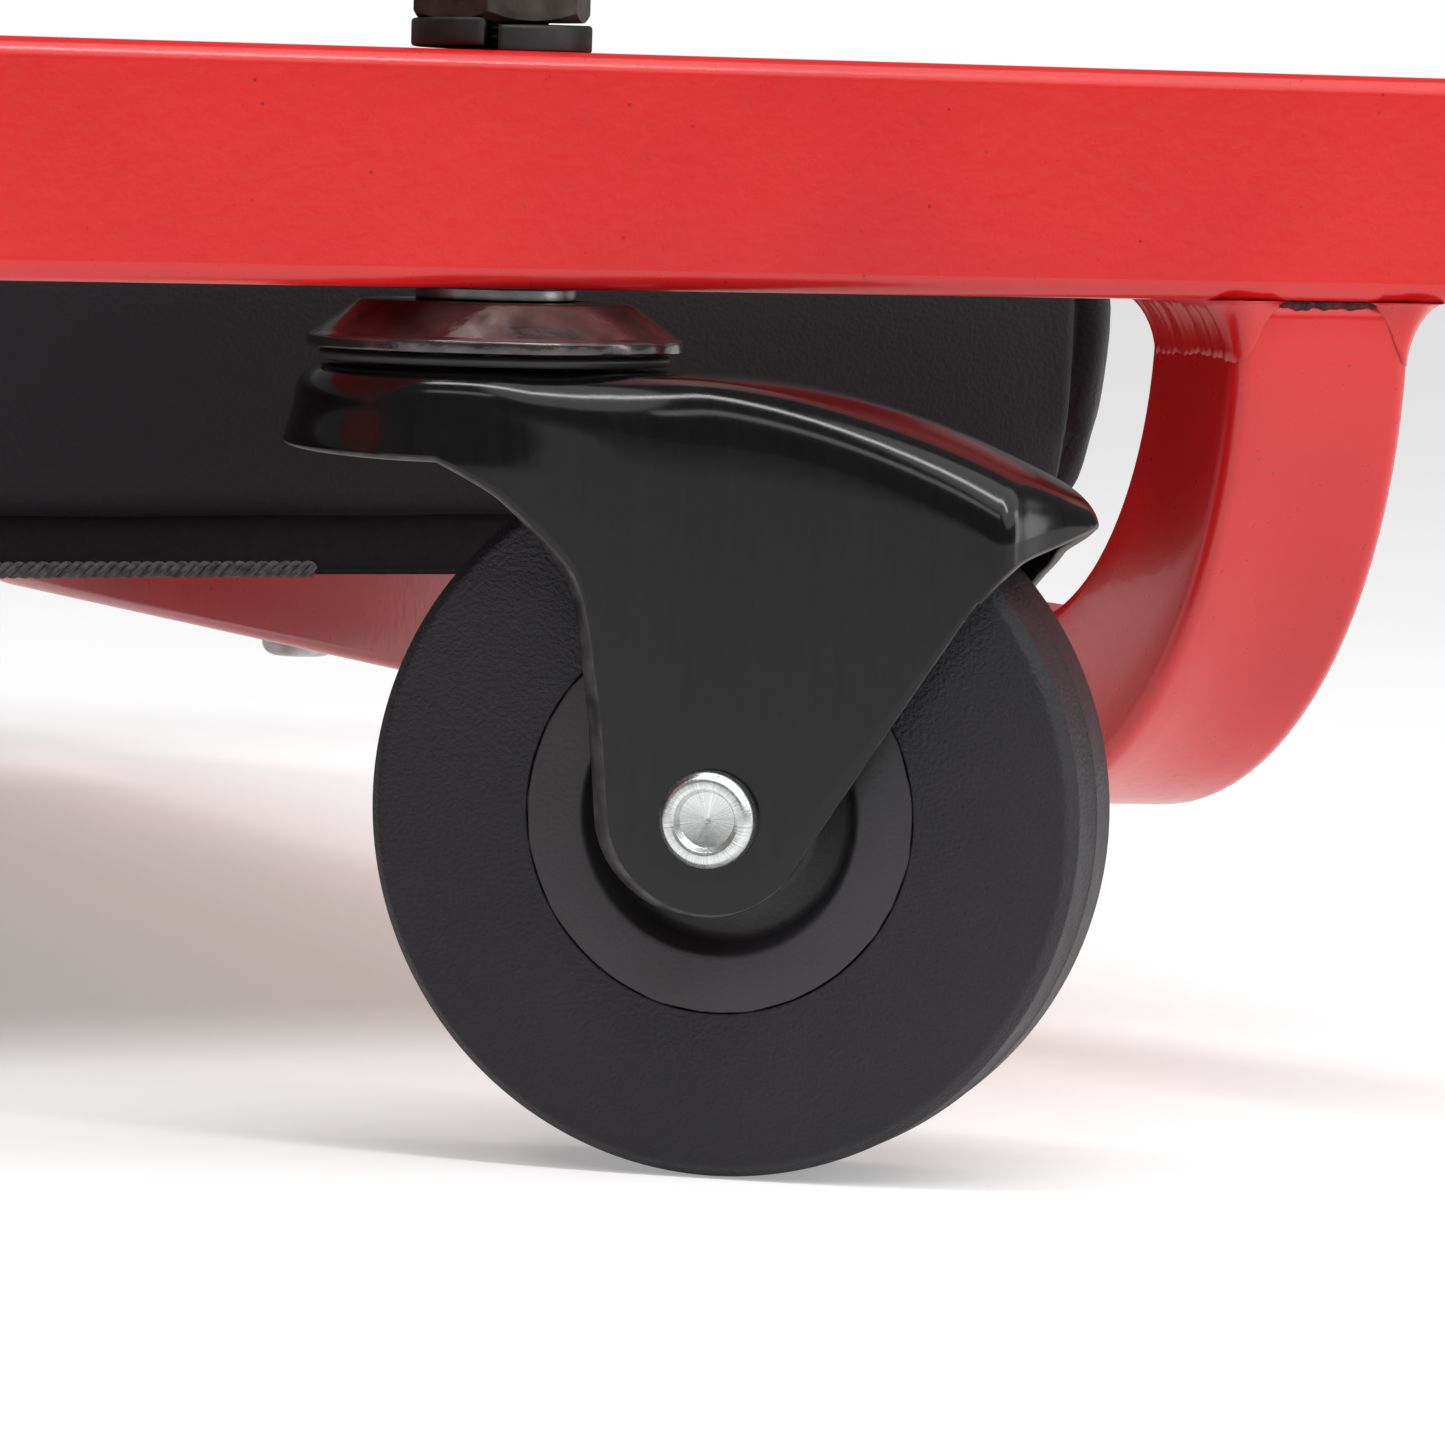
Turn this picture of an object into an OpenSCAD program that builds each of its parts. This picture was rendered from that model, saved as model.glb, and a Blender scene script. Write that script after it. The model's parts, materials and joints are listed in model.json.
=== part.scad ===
// Low mechanics creeper: a padded deck slung between two side rails on three
// drop cross tubes, with six swivel casters outboard of the deck.
// X runs along the rails (head end at -X), Y across, Z up, floor at Z = 0.

/* [Frame] */
// Length of one side rail tube, without its end caps
rail_len = 1012; // [980:1:1060]
// Outside width and height of the square rail tube
rail_side = 25; // [24:1:30]
// Distance between the kingpin lines of the two rails
track = 490; // [480:1:540]
// Outside width and height of the square cross tube
cross_side = 22; // [20:1:24]
// Wall of every tube
tube_wall = 1.6; // [1.2:0.1:2]
// Outside corner radius of every tube
tube_corner = 2.2; // [1.5:0.1:3]
// Bend radius of a cross tube, on its centre line
bend_r = 48.2; // [44:0.1:50]
// Distance from a rail end to the nearest kingpin
end_overhang = 128; // [120:1:140]
// Distance from a kingpin to the cross tube that stands beyond it
cross_offset = 94.2; // [90:0.1:100]

/* [Casters] */
// Wheel diameter
wheel_d = 77; // [75:0.5:80]
// Wheel width over the faces
wheel_w = 20; // [18:0.5:21]
// Horizontal distance from the kingpin to the wheel axle
trail = 28.3; // [27:0.1:30]
// Vertical distance from the underside of the rail to the wheel axle
axle_drop = 54.65; // [54:0.05:57]
// Angle that each caster trails outwards from the rail at rest
rest_swivel = 36.7; // [0:0.1:60]
// Thickness of the pressed fork
fork_plate = 2.5; // [2:0.1:2.8]
// Gap between the inner faces of the fork legs
fork_gap = 22.4; // [22.4:0.1:23]
// Diameter of the threaded stem
stem_d = 11; // [10:0.5:12]

/* [Deck] */
// Width of both pads
pad_w = 350; // [330:1:352]
// Thickness of the plywood boards
board_t = 8; // [6:0.5:9]
// Height of the pads, from the underside of the board to the top of the foam
pad_h = 54; // [50:1:56]
// Gap between the body pad and the headrest
pad_gap = 24; // [24:1:30]
// Distance from the middle of the creeper to the headrest hinge, towards the head end
hinge_x = 190; // [185:1:200]
// Distance from an end kingpin to the outer end of a pad
pad_reach = 107.5; // [104:0.5:112]
// Distance from an end kingpin to the outer end of the backing cloth
backing_reach = 6; // [0:1:40]
// Height of the rubber spacers between the cross tubes and the pads
spacer_h = 3; // [2:0.5:4]

/* [Hidden] */
$fn = 64;
END_NAMES = ["foot", "middle", "head"];
SIDE_NAMES = ["right", "left"];
// Each caster is its name, its place along the rail (1, 0, -1) and its side (-1, 1)
CASTERS = [for (e = [0:2]) for (s = [0:1]) [str(END_NAMES[e], "_", SIDE_NAMES[s]), 1 - e, 2 * s - 1]];
CASTER_PARTS = ["fork", "axle_rivet", "bush", "hub", "tyre"];

// Frame heights and places
wheel_r = wheel_d / 2;
rail_z = wheel_r + axle_drop;
kingpin_x = rail_len / 2 - end_overhang + 2;
cap_t = 2;
hole_gap = 0.6;
end_stub = 2;
cross_bottom = rail_z - end_stub - bend_r - cross_side / 2;
cross_top = cross_bottom + cross_side;
foot_tube_x = kingpin_x + cross_offset;
middle_tube_x = -cross_offset;
head_tube_x = -kingpin_x - cross_offset;
bead = 4;

// Deck heights and places
fit = 0.2;
backing_t = 1.2;
backing_z = cross_top + spacer_h + fit;
board_z = backing_z + backing_t;
deck_end = kingpin_x + pad_reach;
board_inset = 6;
board_corner = 7;
cover_wrap = 3.5;
cloth_inset = 2;
pad_corner = 11;
body_x = [-hinge_x + pad_gap / 2, deck_end];
headrest_x = [-deck_end, -hinge_x - pad_gap / 2];
backing_end = kingpin_x + backing_reach;
body_backing_x = [body_x[0] + 5, backing_end];
headrest_backing_x = [-backing_end, headrest_x[1] - 5];
support_r = 9;
screw_y = 78;
screw_r = 3;
tee_r = 4;
tee_flange_r = 9;
tee_flange_t = 1.2;

// Headrest hinge: a pair of ratchet arms, pivoted in the gap between the pads
pivot_z = backing_z + 3;
pivot_r = 4;
arm_t = 3;
arm_disc_r = 11;
arm_len = 74;
arm_bar_h = 8;
arm_flange_w = 20;
arm_flange_t = 2.5;
arm_y = 110;
arm_screws = [30, 60];
arm_screw_r = 2;
arm_shift = arm_t + fit;
running_gap = 0.05;
arm_screw_len = arm_flange_t + fit + backing_t + 5;

// Caster bearing stack, measured down from the underside of the rail
spacer_t = 1.5;
spacer_r = 8.6;
cap_top_r = 14.7;
cap_rim_r = 20.1;
cap_wall = 1.2;
ball_r = 2;
ball_circle = 15.6;
ball_count = 16;
crown_z = -8.5;
ball_z = crown_z + ball_r + 0.2;
cage_r = 18.6;
stem_head_r = 9;
stem_head_t = 2.4;

// Caster fork outline
cup_r = 22.5;
skirt_z = -17.2;
crown_r = 81.4;
crown_x = 22;
leg_out = fork_gap / 2 + fork_plate;
leg_end_r = 10.6;
shoulder_r = 5;
horn = [66.2, -23.2];
horn_sweep_r = 36.3;
web_r = 24;
front_edge = 15.3;

// Wheel
rivet_r = 4;
rivet_head_r = 5.15;
rivet_head_t = 2.5;
bush_r = 6;
ring_r = 20.9;
recess_r = 14.8;
recess_depth = 4.5;
boss_r = 8.5;
boss_w = 21.6;
tread_edge = 1.5;

// Top side: washer, nut and stem end
washer_r = 9.65;
washer_t = 3.2;
nut_flats = 17.5;
nut_h = 9.5;
stem_above = 4;

// A square with round corners, centred
module rounded_square(side, r) {
    square([side - 2 * r, side], center = true);
    square([side, side - 2 * r], center = true);
    for (x = [-1, 1])
        for (y = [-1, 1])
            translate([x * (side / 2 - r), y * (side / 2 - r)]) circle(r);
}

// The wall of a square tube
module tube_wall_2d(side) {
    difference() {
        rounded_square(side, tube_corner);
        rounded_square(side - 2 * tube_wall, tube_corner - tube_wall + 0.2);
    }
}

// One side rail, with a hole through both walls at each kingpin
module side_rail(side) {
    color("firebrick")
    translate([0, side * track / 2, rail_z + rail_side / 2])
    difference() {
        rotate([90, 0, 90]) linear_extrude(rail_len, center = true) tube_wall_2d(rail_side);
        for (place = [-1, 0, 1])
            translate([place * kingpin_x, 0, 0])
            cylinder(h = rail_side + 2, d = stem_d + hole_gap, center = true);
    }
}

// Push-in plastic caps in the four rail ends
module rail_end_caps() {
    plug_len = 14;
    plug_side = rail_side - 2 * tube_wall - 2 * fit;
    color("#202022")
    for (end = [-1, 1])
        for (side = [-1, 1])
            translate([end * rail_len / 2, side * track / 2, rail_z + rail_side / 2])
            rotate([0, end * 90, 0]) {
                linear_extrude(cap_t) rounded_square(rail_side, tube_corner);
                translate([0, 0, -plug_len])
                linear_extrude(plug_len) rounded_square(plug_side, tube_corner / 2);
            }
}

// One end of a cross tube, bent down from the rail
module cross_tube_bend(side) {
    translate([0, side * (track / 2 - bend_r), cross_bottom + cross_side / 2 + bend_r])
    rotate([0, 90, 0])
    rotate([0, 0, side > 0 ? 0 : -90])
    rotate_extrude(angle = 90) translate([bend_r, 0]) tube_wall_2d(cross_side);
}

// A drop cross tube: straight in the middle, bent up to both rails
module cross_tube(x, screwed) {
    color("firebrick")
    translate([x, 0, 0])
    difference() {
        union() {
            translate([0, 0, cross_bottom + cross_side / 2])
            rotate([90, 0, 0]) linear_extrude(track - 2 * bend_r, center = true) tube_wall_2d(cross_side);
            for (side = [-1, 1]) {
                cross_tube_bend(side);
                translate([0, side * track / 2, rail_z - end_stub])
                linear_extrude(end_stub) tube_wall_2d(cross_side);
            }
        }
        if (screwed)
            for (side = [-1, 1])
                translate([0, side * screw_y, cross_bottom - 1])
                cylinder(h = cross_side + 2, r = screw_r + hole_gap / 2);
    }
}

// Fillet welds on both sides of each cross tube end, under the rail
module weld_beads() {
    color("firebrick")
    for (x = [foot_tube_x, middle_tube_x, head_tube_x])
        for (side = [-1, 1])
            for (face = [-1, 1])
                translate([x + face * cross_side / 2, side * track / 2, rail_z])
                rotate([90, 0, 0])
                linear_extrude(cross_side - 2 * tube_corner, center = true)
                    polygon([[0, 0], [face * bead, 0], [0, -bead]]);
}

// A plan outline with round corners, from x0 to x1 and width w
module plan(x0, x1, w, r) {
    translate([x0 + r, -w / 2]) square([x1 - x0 - 2 * r, w]);
    translate([x0, -w / 2 + r]) square([x1 - x0, w - 2 * r]);
    for (x = [x0 + r, x1 - r])
        for (y = [-1, 1])
            translate([x, y * (w / 2 - r)]) circle(r);
}

// A plywood board, with a hole at each tee nut and a pilot hole at each arm screw
module board(span, tee_nut_x, way, shift) {
    color("burlywood")
    difference() {
        translate([0, 0, board_z])
        linear_extrude(board_t)
            plan(span[0] + board_inset, span[1] - board_inset, pad_w - 2 * board_inset, board_corner);
        for (x = tee_nut_x)
            for (side = [-1, 1])
                translate([x, side * screw_y, board_z - 1]) cylinder(h = board_t + 2, r = tee_r + running_gap);
        at_arm_screws(way, shift) cylinder(h = 2 * arm_screw_len, r = arm_screw_r + running_gap, center = true);
    }
}

// One level of a cushion, for the hull that joins them
module cushion_level(span, inset, z) {
    translate([0, 0, z]) linear_extrude(0.5)
        plan(span[0] + inset, span[1] - inset, pad_w - 2 * inset, pad_corner, $fn = 32);
}

// A foam cushion in its cover, which wraps down over the edge of the board
module cushion(span, tee_nut_x) {
    top_z = backing_z + pad_h;
    color("#28252a")
    difference() {
        hull() {
            cushion_level(span, 3, board_z + cover_wrap);
            cushion_level(span, 0, board_z + pad_h / 2);
            cushion_level(span, 2, top_z - 14);
            cushion_level(span, 8, top_z - 5);
            cushion_level(span, 16, top_z - 0.5);
        }
        translate([0, 0, board_z - 1])
        linear_extrude(board_t + 1 + fit)
            plan(
                span[0] + board_inset - fit, span[1] - board_inset + fit,
                pad_w - 2 * board_inset + 2 * fit, board_corner + fit
            );
        for (x = tee_nut_x)
            for (side = [-1, 1])
                translate([x, side * screw_y, board_z]) cylinder(h = board_t + 2, r = tee_flange_r + fit);
    }
}

// The woven cloth stapled under a board, with a hole at every screw that goes through it
module backing(span, screw_x, way, shift) {
    color("#1b1b1d")
    difference() {
        translate([0, 0, backing_z]) linear_extrude(backing_t) plan(span[0], span[1], pad_w - 2 * cloth_inset, board_corner);
        for (x = screw_x)
            for (side = [-1, 1])
                translate([x, side * screw_y, backing_z - 1])
                cylinder(h = backing_t + 2, r = screw_r + hole_gap);
        at_arm_screws(way, shift) cylinder(h = 2 * arm_screw_len, r = arm_screw_r + hole_gap, center = true);
    }
}

// Machine screws up through the foot and middle cross tubes into the body board
module pad_screws() {
    head_r = 5.8;
    head_h = 3;
    rim_h = 0.8;
    round_r = 2.2;
    shank = board_z + board_t - cross_bottom;
    color("silver")
    for (x = [foot_tube_x, middle_tube_x])
        for (side = [-1, 1])
            translate([x, side * screw_y, cross_bottom]) {
                cylinder(h = shank, r = screw_r);
                rotate_extrude() polygon([
                    [0, 0], [head_r, 0], [head_r, -rim_h],
                    for (a = [0:15:90]) [head_r - round_r + round_r * cos(a), -rim_h - (head_h - rim_h) * sin(a)],
                    [0, -head_h]
                ]);
            }
}

// Rubber spacers on the cross tubes, round the pad screws; the foot pair reaches the bare board
module pad_spacers() {
    color("#1b1b1d")
    for (x = [foot_tube_x, middle_tube_x])
        for (side = [-1, 1])
            translate([x, side * screw_y, cross_top])
            difference() {
                cylinder(h = x > 0 ? spacer_h + fit + backing_t : spacer_h + fit, r = support_r);
                translate([0, 0, -1]) cylinder(h = 3 * spacer_h, r = screw_r + hole_gap / 2);
            }
}

// Rubber bumpers on the head cross tube that the headrest comes down on
module headrest_bumpers() {
    color("#1b1b1d")
    for (side = [-1, 1])
        translate([head_tube_x, side * screw_y, cross_top])
        rotate_extrude() polygon([
            [0, 0], [support_r, 0], [support_r, spacer_h], [support_r - 1, spacer_h + 1],
            [0, spacer_h + 1]
        ]);
}

// Tee nuts pressed into the top of the body board
module tee_nuts() {
    color("silver")
    for (x = [foot_tube_x, middle_tube_x])
        for (side = [-1, 1])
            translate([x, side * screw_y, board_z])
            difference() {
                union() {
                    translate([0, 0, 1]) cylinder(h = board_t - 1, r = tee_r);
                    translate([0, 0, board_t]) cylinder(h = tee_flange_t, r = tee_flange_r);
                }
                cylinder(h = 3 * board_t, r = screw_r + running_gap, center = true);
            }
}

// One ratchet arm: a disc at the pivot, a bar under the board and a flange against it
module ratchet_arm() {
    bar_top = backing_z - pivot_z - fit;
    rotate([90, 0, 0])
    linear_extrude(arm_t) {
        circle(arm_disc_r);
        translate([0, bar_top - arm_bar_h]) square([arm_len, arm_bar_h]);
    }
    difference() {
        translate([arm_disc_r + 4, -arm_flange_w, bar_top - arm_flange_t])
            cube([arm_len - arm_disc_r - 4, arm_flange_w, arm_flange_t]);
        for (x = arm_screws)
            translate([x, -arm_flange_w / 2 - arm_t / 2, bar_top])
            cylinder(h = 4 * arm_flange_t, r = arm_screw_r + hole_gap / 2, center = true);
    }
}

// Places a ratchet arm on each side; way is 1 under the body pad and -1 under the headrest
module arm_pair(way, shift) {
    color("#8d9094")
    for (side = [-1, 1])
        translate([-hinge_x, side * (arm_y + shift), pivot_z])
        mirrored_arm(side, way)
        difference() {
            ratchet_arm();
            rotate([90, 0, 0]) cylinder(h = 4 * arm_t, r = pivot_r + running_gap, center = true);
        }
}

// Mirrors a ratchet arm to its side of the creeper and to its end of the hinge
module mirrored_arm(side, way) {
    mirror([0, side > 0 ? 0 : 1, 0]) mirror([way > 0 ? 0 : 1, 0, 0]) children();
}

// Shouldered rivets that the ratchet arms turn on
module hinge_pivots() {
    head_r = 7;
    head_t = 1.6;
    color("silver")
    for (side = [-1, 1])
        translate([-hinge_x, side * arm_y, pivot_z])
        rotate([side * 90, 0, 0]) {
            translate([0, 0, -arm_t - 3 * fit]) cylinder(h = 2 * arm_t + 4 * fit, r = pivot_r);
            translate([0, 0, arm_t + fit]) cylinder(h = head_t, r = head_r);
            translate([0, 0, -arm_t - 3 * fit - head_t]) cylinder(h = head_t, r = head_r);
        }
}

// Repeats a part at the arm screws under a pad, with z = 0 at the underside of the arm flanges
module at_arm_screws(way, shift) {
    for (side = [-1, 1])
        for (x = arm_screws)
            translate([
                -hinge_x + way * x,
                side * (arm_y + shift - arm_flange_w / 2 - arm_t / 2),
                backing_z - fit - arm_flange_t
            ]) children();
}

// Pan head screws through the ratchet arm flanges into a board
module arm_screw_set(way, shift) {
    head_r = 4;
    head_h = 2;
    color("silver")
    at_arm_screws(way, shift) {
        translate([0, 0, -head_h]) cylinder(h = head_h, r = head_r);
        cylinder(h = arm_screw_len, r = arm_screw_r);
    }
}

// Repeats a caster part under every kingpin, with z = 0 at the underside of the rail
module at_kingpins() {
    for (c = CASTERS)
        translate([c[1] * kingpin_x, c[2] * track / 2, rail_z]) children();
}

// Turns a caster part to the way that its caster trails at rest
module at_caster(c) {
    translate([c[1] * kingpin_x, c[2] * track / 2, rail_z])
    rotate([0, 0, c[2] * rest_swivel])
    children();
}

// Threaded stems, with their riveted heads inside the fork crowns
module caster_stems() {
    stem_end = crown_z - fork_plate - fit - stem_head_t;
    stem_top = rail_side + washer_t + nut_h + stem_above;
    color("#3a3634")
    at_kingpins() {
        rotate_extrude() polygon([
            [0, stem_end], [stem_head_r - 1.5, stem_end], [stem_head_r, stem_end + 1.2],
            [stem_head_r, stem_end + stem_head_t], [stem_d / 2, stem_end + stem_head_t],
            [stem_d / 2, stem_top - 1], [stem_d / 2 - 1, stem_top], [0, stem_top]
        ]);
    }
}

// Hexagon nuts on top of the rail
module stem_nuts() {
    across_corners = nut_flats / cos(30);
    color("#3a3634")
    at_kingpins()
        translate([0, 0, rail_side + washer_t])
        difference() {
            intersection() {
                cylinder(h = nut_h, d = across_corners, $fn = 6);
                rotate_extrude() polygon([
                    [0, 0], [nut_flats / 2, 0], [across_corners / 2, 0.9],
                    [across_corners / 2, nut_h - 0.9], [nut_flats / 2, nut_h], [0, nut_h]
                ]);
            }
            cylinder(h = 3 * nut_h, r = stem_d / 2 + running_gap, center = true);
        }
}

// Split spring washers under the nuts
module lock_washers() {
    split = 1;
    color("#1d1c1e")
    at_kingpins()
        translate([0, 0, rail_side])
        difference() {
            cylinder(h = washer_t, r = washer_r);
            translate([0, 0, -1]) cylinder(h = washer_t + 2, r = stem_d / 2 + running_gap);
            rotate([0, 20, -105]) translate([0, -split / 2, -2]) cube([2 * washer_r, split, washer_t + 12]);
        }
}

// Plain spacer washers between the rail and the raceway caps
module spacer_washers() {
    color("#77797c")
    at_kingpins()
        translate([0, 0, -spacer_t])
        difference() {
            cylinder(h = spacer_t, r = spacer_r);
            translate([0, 0, -1]) cylinder(h = spacer_t + 2, r = stem_d / 2 + running_gap);
        }
}

// Pressed raceway caps over the ball races
module raceway_caps() {
    rim_z = -5.3;
    rim_bottom = -6.7;
    top_z = -spacer_t;
    color("#2c2a2b")
    at_kingpins()
        rotate_extrude() polygon([
            [stem_d / 2 + running_gap, top_z], [cap_top_r, top_z], [cap_rim_r - 1, rim_z + 0.6],
            [cap_rim_r, rim_z], [cap_rim_r, rim_bottom], [cap_rim_r - cap_wall, rim_bottom],
            [cap_rim_r - cap_wall, rim_z + 0.2], [cap_top_r - 0.8, top_z - cap_wall],
            [stem_d / 2 + running_gap, top_z - cap_wall]
        ]);
}

// Ball cages of the swivel bearings
module ball_cages() {
    cage_t = 1.3;
    cage_bottom = crown_z + 0.35;
    color("#17171a")
    at_kingpins()
        translate([0, 0, cage_bottom])
        difference() {
            cylinder(h = cage_t, r = cage_r);
            translate([0, 0, -1]) cylinder(h = cage_t + 2, r = ball_circle - ball_r - 1);
            for (i = [1:ball_count])
                rotate([0, 0, i * 360 / ball_count])
                translate([ball_circle, 0, -1])
                cylinder(h = cage_t + 2, r = ball_r + 0.1, $fn = 24);
        }
}

// Steel balls of the swivel bearings
module race_balls() {
    color("silver")
    at_kingpins()
        for (i = [1:ball_count])
            rotate([0, 0, i * 360 / ball_count])
            translate([ball_circle, 0, ball_z])
            sphere(ball_r, $fn = 16);
}

// Side outline of a fork leg: x along the trail, y up, from the underside of the rail
module leg_outline() {
    web_z = skirt_z - web_r;
    polygon([
        [-14, 0], [70, 0], horn, [62.5, -25.2], [58.6, -28.6],
        [trail + leg_end_r * cos(34), -axle_drop - leg_end_r * sin(34)],
        [trail, -axle_drop],
        [trail - leg_end_r * cos(-5), -axle_drop - leg_end_r * sin(-5)],
        [front_edge, web_z], [front_edge, skirt_z], [-14, skirt_z]
    ]);
    translate([trail, -axle_drop]) circle(leg_end_r);
    difference() {
        translate([front_edge - web_r, web_z]) square(web_r);
        translate([front_edge - web_r, web_z]) circle(web_r);
    }
}

// The arched body of the crown: a wide wheel shape with rounded rims
module crown_wheel(r, half_width, edge_r) {
    translate([crown_x, 0, crown_z - crown_r])
    rotate([90, 0, 0])
    rotate_extrude()
    union() {
        translate([0, -half_width]) square([r - edge_r, 2 * half_width]);
        translate([0, edge_r - half_width]) square([r, 2 * (half_width - edge_r)]);
        for (y = [edge_r - half_width, half_width - edge_r])
            translate([r - edge_r, y]) circle(edge_r);
    }
}

// Pressed steel fork: a round cup over the bearing that runs out into two legs
module fork() {
    color("#2e2b2d")
    difference() {
        union() {
            rotate_extrude() polygon([
                [0, skirt_z], [cup_r, skirt_z], [cup_r - 1, -12.5],
                for (a = [0:15:90]) [cup_r - 5 + 4 * cos(a), -12.5 + 4 * sin(a)],
                [0, crown_z]
            ]);
            intersection() {
                crown_wheel(crown_r, leg_out, shoulder_r);
                rotate([90, 0, 0]) linear_extrude(3 * leg_out, center = true) leg_outline();
                translate([horn[0] - horn_sweep_r, 0, -80]) cylinder(h = 90, r = horn_sweep_r, $fn = 96);
            }
        }
        translate([0, 0, skirt_z - 1])
        cylinder(h = crown_z - fork_plate - skirt_z + 1, r = cup_r - 1 - fork_plate);
        crown_wheel(crown_r - fork_plate, fork_gap / 2, shoulder_r - fork_plate);
        cylinder(h = 60, r = stem_d / 2 + running_gap, center = true);
        translate([trail, 0, -axle_drop])
        rotate([90, 0, 0]) cylinder(h = 60, r = rivet_r + running_gap, center = true);
    }
}

// Places a turned part on the wheel axle
module on_axle() {
    translate([trail, 0, -axle_drop]) rotate([90, 0, 0]) children();
}

// Axle rivet with a dimpled head at both ends
module axle_rivet() {
    dimple_r = 3;
    dimple_depth = 0.8;
    color("silver")
    on_axle()
    for (side = [0, 1])
        mirror([0, 0, side])
        rotate_extrude() polygon([
            [0, 0], [rivet_r, 0], [rivet_r, leg_out], [rivet_head_r, leg_out],
            for (a = [0:15:90])
                [rivet_head_r - 1.4 + 1.4 * cos(a), leg_out + rivet_head_t - 1.4 + 1.4 * sin(a)],
            [dimple_r, leg_out + rivet_head_t], [0, leg_out + rivet_head_t - dimple_depth]
        ]);
}

// Sleeve between the fork legs that the wheel turns on
module bush() {
    color("#9a9c9f")
    on_axle()
    difference() {
        cylinder(h = fork_gap - fit, r = bush_r, center = true);
        cylinder(h = 2 * fork_gap, r = rivet_r + running_gap, center = true);
    }
}

// Moulded wheel centre with a recess round its boss on each face
module hub() {
    bore = bush_r + running_gap;
    half = wheel_w / 2;
    color("#2a282b")
    on_axle()
    rotate_extrude() polygon([
        [bore, -boss_w / 2], [boss_r, -boss_w / 2], [boss_r, -half + recess_depth],
        [recess_r - 1, -half + recess_depth], [recess_r, -half], [ring_r, -half],
        [ring_r, half], [recess_r, half], [recess_r - 1, half - recess_depth],
        [boss_r, half - recess_depth], [boss_r, boss_w / 2], [bore, boss_w / 2]
    ]);
}

// Rubber tyre round the wheel centre
module tyre() {
    half = wheel_w / 2;
    color("#323033")
    on_axle()
    rotate_extrude($fn = 128) polygon([
        [ring_r, -half],
        for (a = [0:30:90]) [wheel_r - tread_edge + tread_edge * sin(a), -half + tread_edge * (1 - cos(a))],
        for (a = [90:-30:0]) [wheel_r - tread_edge + tread_edge * sin(a), half - tread_edge * (1 - cos(a))],
        [ring_r, half]
    ]);
}

side_rail(-1);  // side_rail_right
side_rail(1);  // side_rail_left
cross_tube(foot_tube_x, true);  // cross_tube_foot
cross_tube(middle_tube_x, true);  // cross_tube_middle
cross_tube(head_tube_x, false);  // cross_tube_head
weld_beads();
rail_end_caps();
board(body_x, [foot_tube_x, middle_tube_x], 1, 0);  // body_board
cushion(body_x, [foot_tube_x, middle_tube_x]);  // body_cushion
backing(body_backing_x, [middle_tube_x], 1, 0);  // body_backing
pad_screws();
pad_spacers();
tee_nuts();
board(headrest_x, [], -1, arm_shift);  // headrest_board
cushion(headrest_x, []);  // headrest_cushion
backing(headrest_backing_x, [], -1, arm_shift);  // headrest_backing
headrest_bumpers();
arm_pair(1, 0);  // hinge_fixed_arms
arm_pair(-1, arm_shift);  // hinge_moving_arms
hinge_pivots();
arm_screw_set(1, 0);  // body_arm_screws
arm_screw_set(-1, arm_shift);  // headrest_arm_screws
caster_stems();
stem_nuts();
lock_washers();
spacer_washers();
raceway_caps();
ball_cages();
race_balls();
for (c = CASTERS) {
    at_caster(c) fork();
    at_caster(c) axle_rivet();
    at_caster(c) bush();
    at_caster(c) hub();
    at_caster(c) tyre();
}
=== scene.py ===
"""Looks for the mechanics creeper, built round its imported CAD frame.
"""

import json
import math

import bmesh
import bpy
from mathutils import Matrix, Vector, noise


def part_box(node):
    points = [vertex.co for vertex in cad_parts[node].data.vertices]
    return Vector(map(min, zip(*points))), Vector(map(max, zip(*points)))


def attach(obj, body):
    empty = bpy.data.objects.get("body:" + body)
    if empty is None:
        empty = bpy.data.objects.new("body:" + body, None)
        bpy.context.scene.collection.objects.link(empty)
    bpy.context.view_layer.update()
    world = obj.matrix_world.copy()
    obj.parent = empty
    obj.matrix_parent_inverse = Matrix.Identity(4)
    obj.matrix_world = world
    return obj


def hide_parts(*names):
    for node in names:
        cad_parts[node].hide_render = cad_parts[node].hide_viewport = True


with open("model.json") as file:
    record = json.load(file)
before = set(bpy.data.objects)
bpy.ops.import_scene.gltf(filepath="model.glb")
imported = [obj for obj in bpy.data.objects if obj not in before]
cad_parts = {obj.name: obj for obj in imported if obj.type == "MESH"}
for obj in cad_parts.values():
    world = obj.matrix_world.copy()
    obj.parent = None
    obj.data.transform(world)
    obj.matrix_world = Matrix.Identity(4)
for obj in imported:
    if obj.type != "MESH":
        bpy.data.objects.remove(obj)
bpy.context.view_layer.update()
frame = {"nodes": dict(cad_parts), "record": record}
MM = 0.001
UP = Vector((0, 0, 1))

# ---------------------------------------------------------------- places


def joint(name):
    """The record's joint of that name."""
    return next(j for j in frame["record"]["behaviour"]["joints"] if j["name"] == name)


class Caster:
    """One caster: its name, its kingpin, its trail angle and the matrix of its own axes."""

    def __init__(self, swivel):
        self.name = swivel["name"].removeprefix("swivel_")
        self.kingpin = Vector(swivel["pos_m"])
        self.axle = Vector(joint("spin_" + self.name)["pos_m"])
        arm = self.axle - self.kingpin
        self.angle = math.atan2(arm.y, arm.x)
        self.trail = math.hypot(arm.x, arm.y)
        self.drop = -arm.z
        self.matrix = Matrix.Translation(self.kingpin) @ Matrix.Rotation(self.angle, 4, "Z")
        self.wheel_matrix = (
            self.matrix
            @ Matrix.Translation((self.trail, 0, -self.drop))
            @ Matrix.Rotation(math.pi / 2, 4, "X")
        )


CASTERS = [
    Caster(j) for j in frame["record"]["behaviour"]["joints"] if j["name"].startswith("swivel_")
]
PHOTO_CASTER = next(c for c in CASTERS if c.name == "foot_right")

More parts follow.
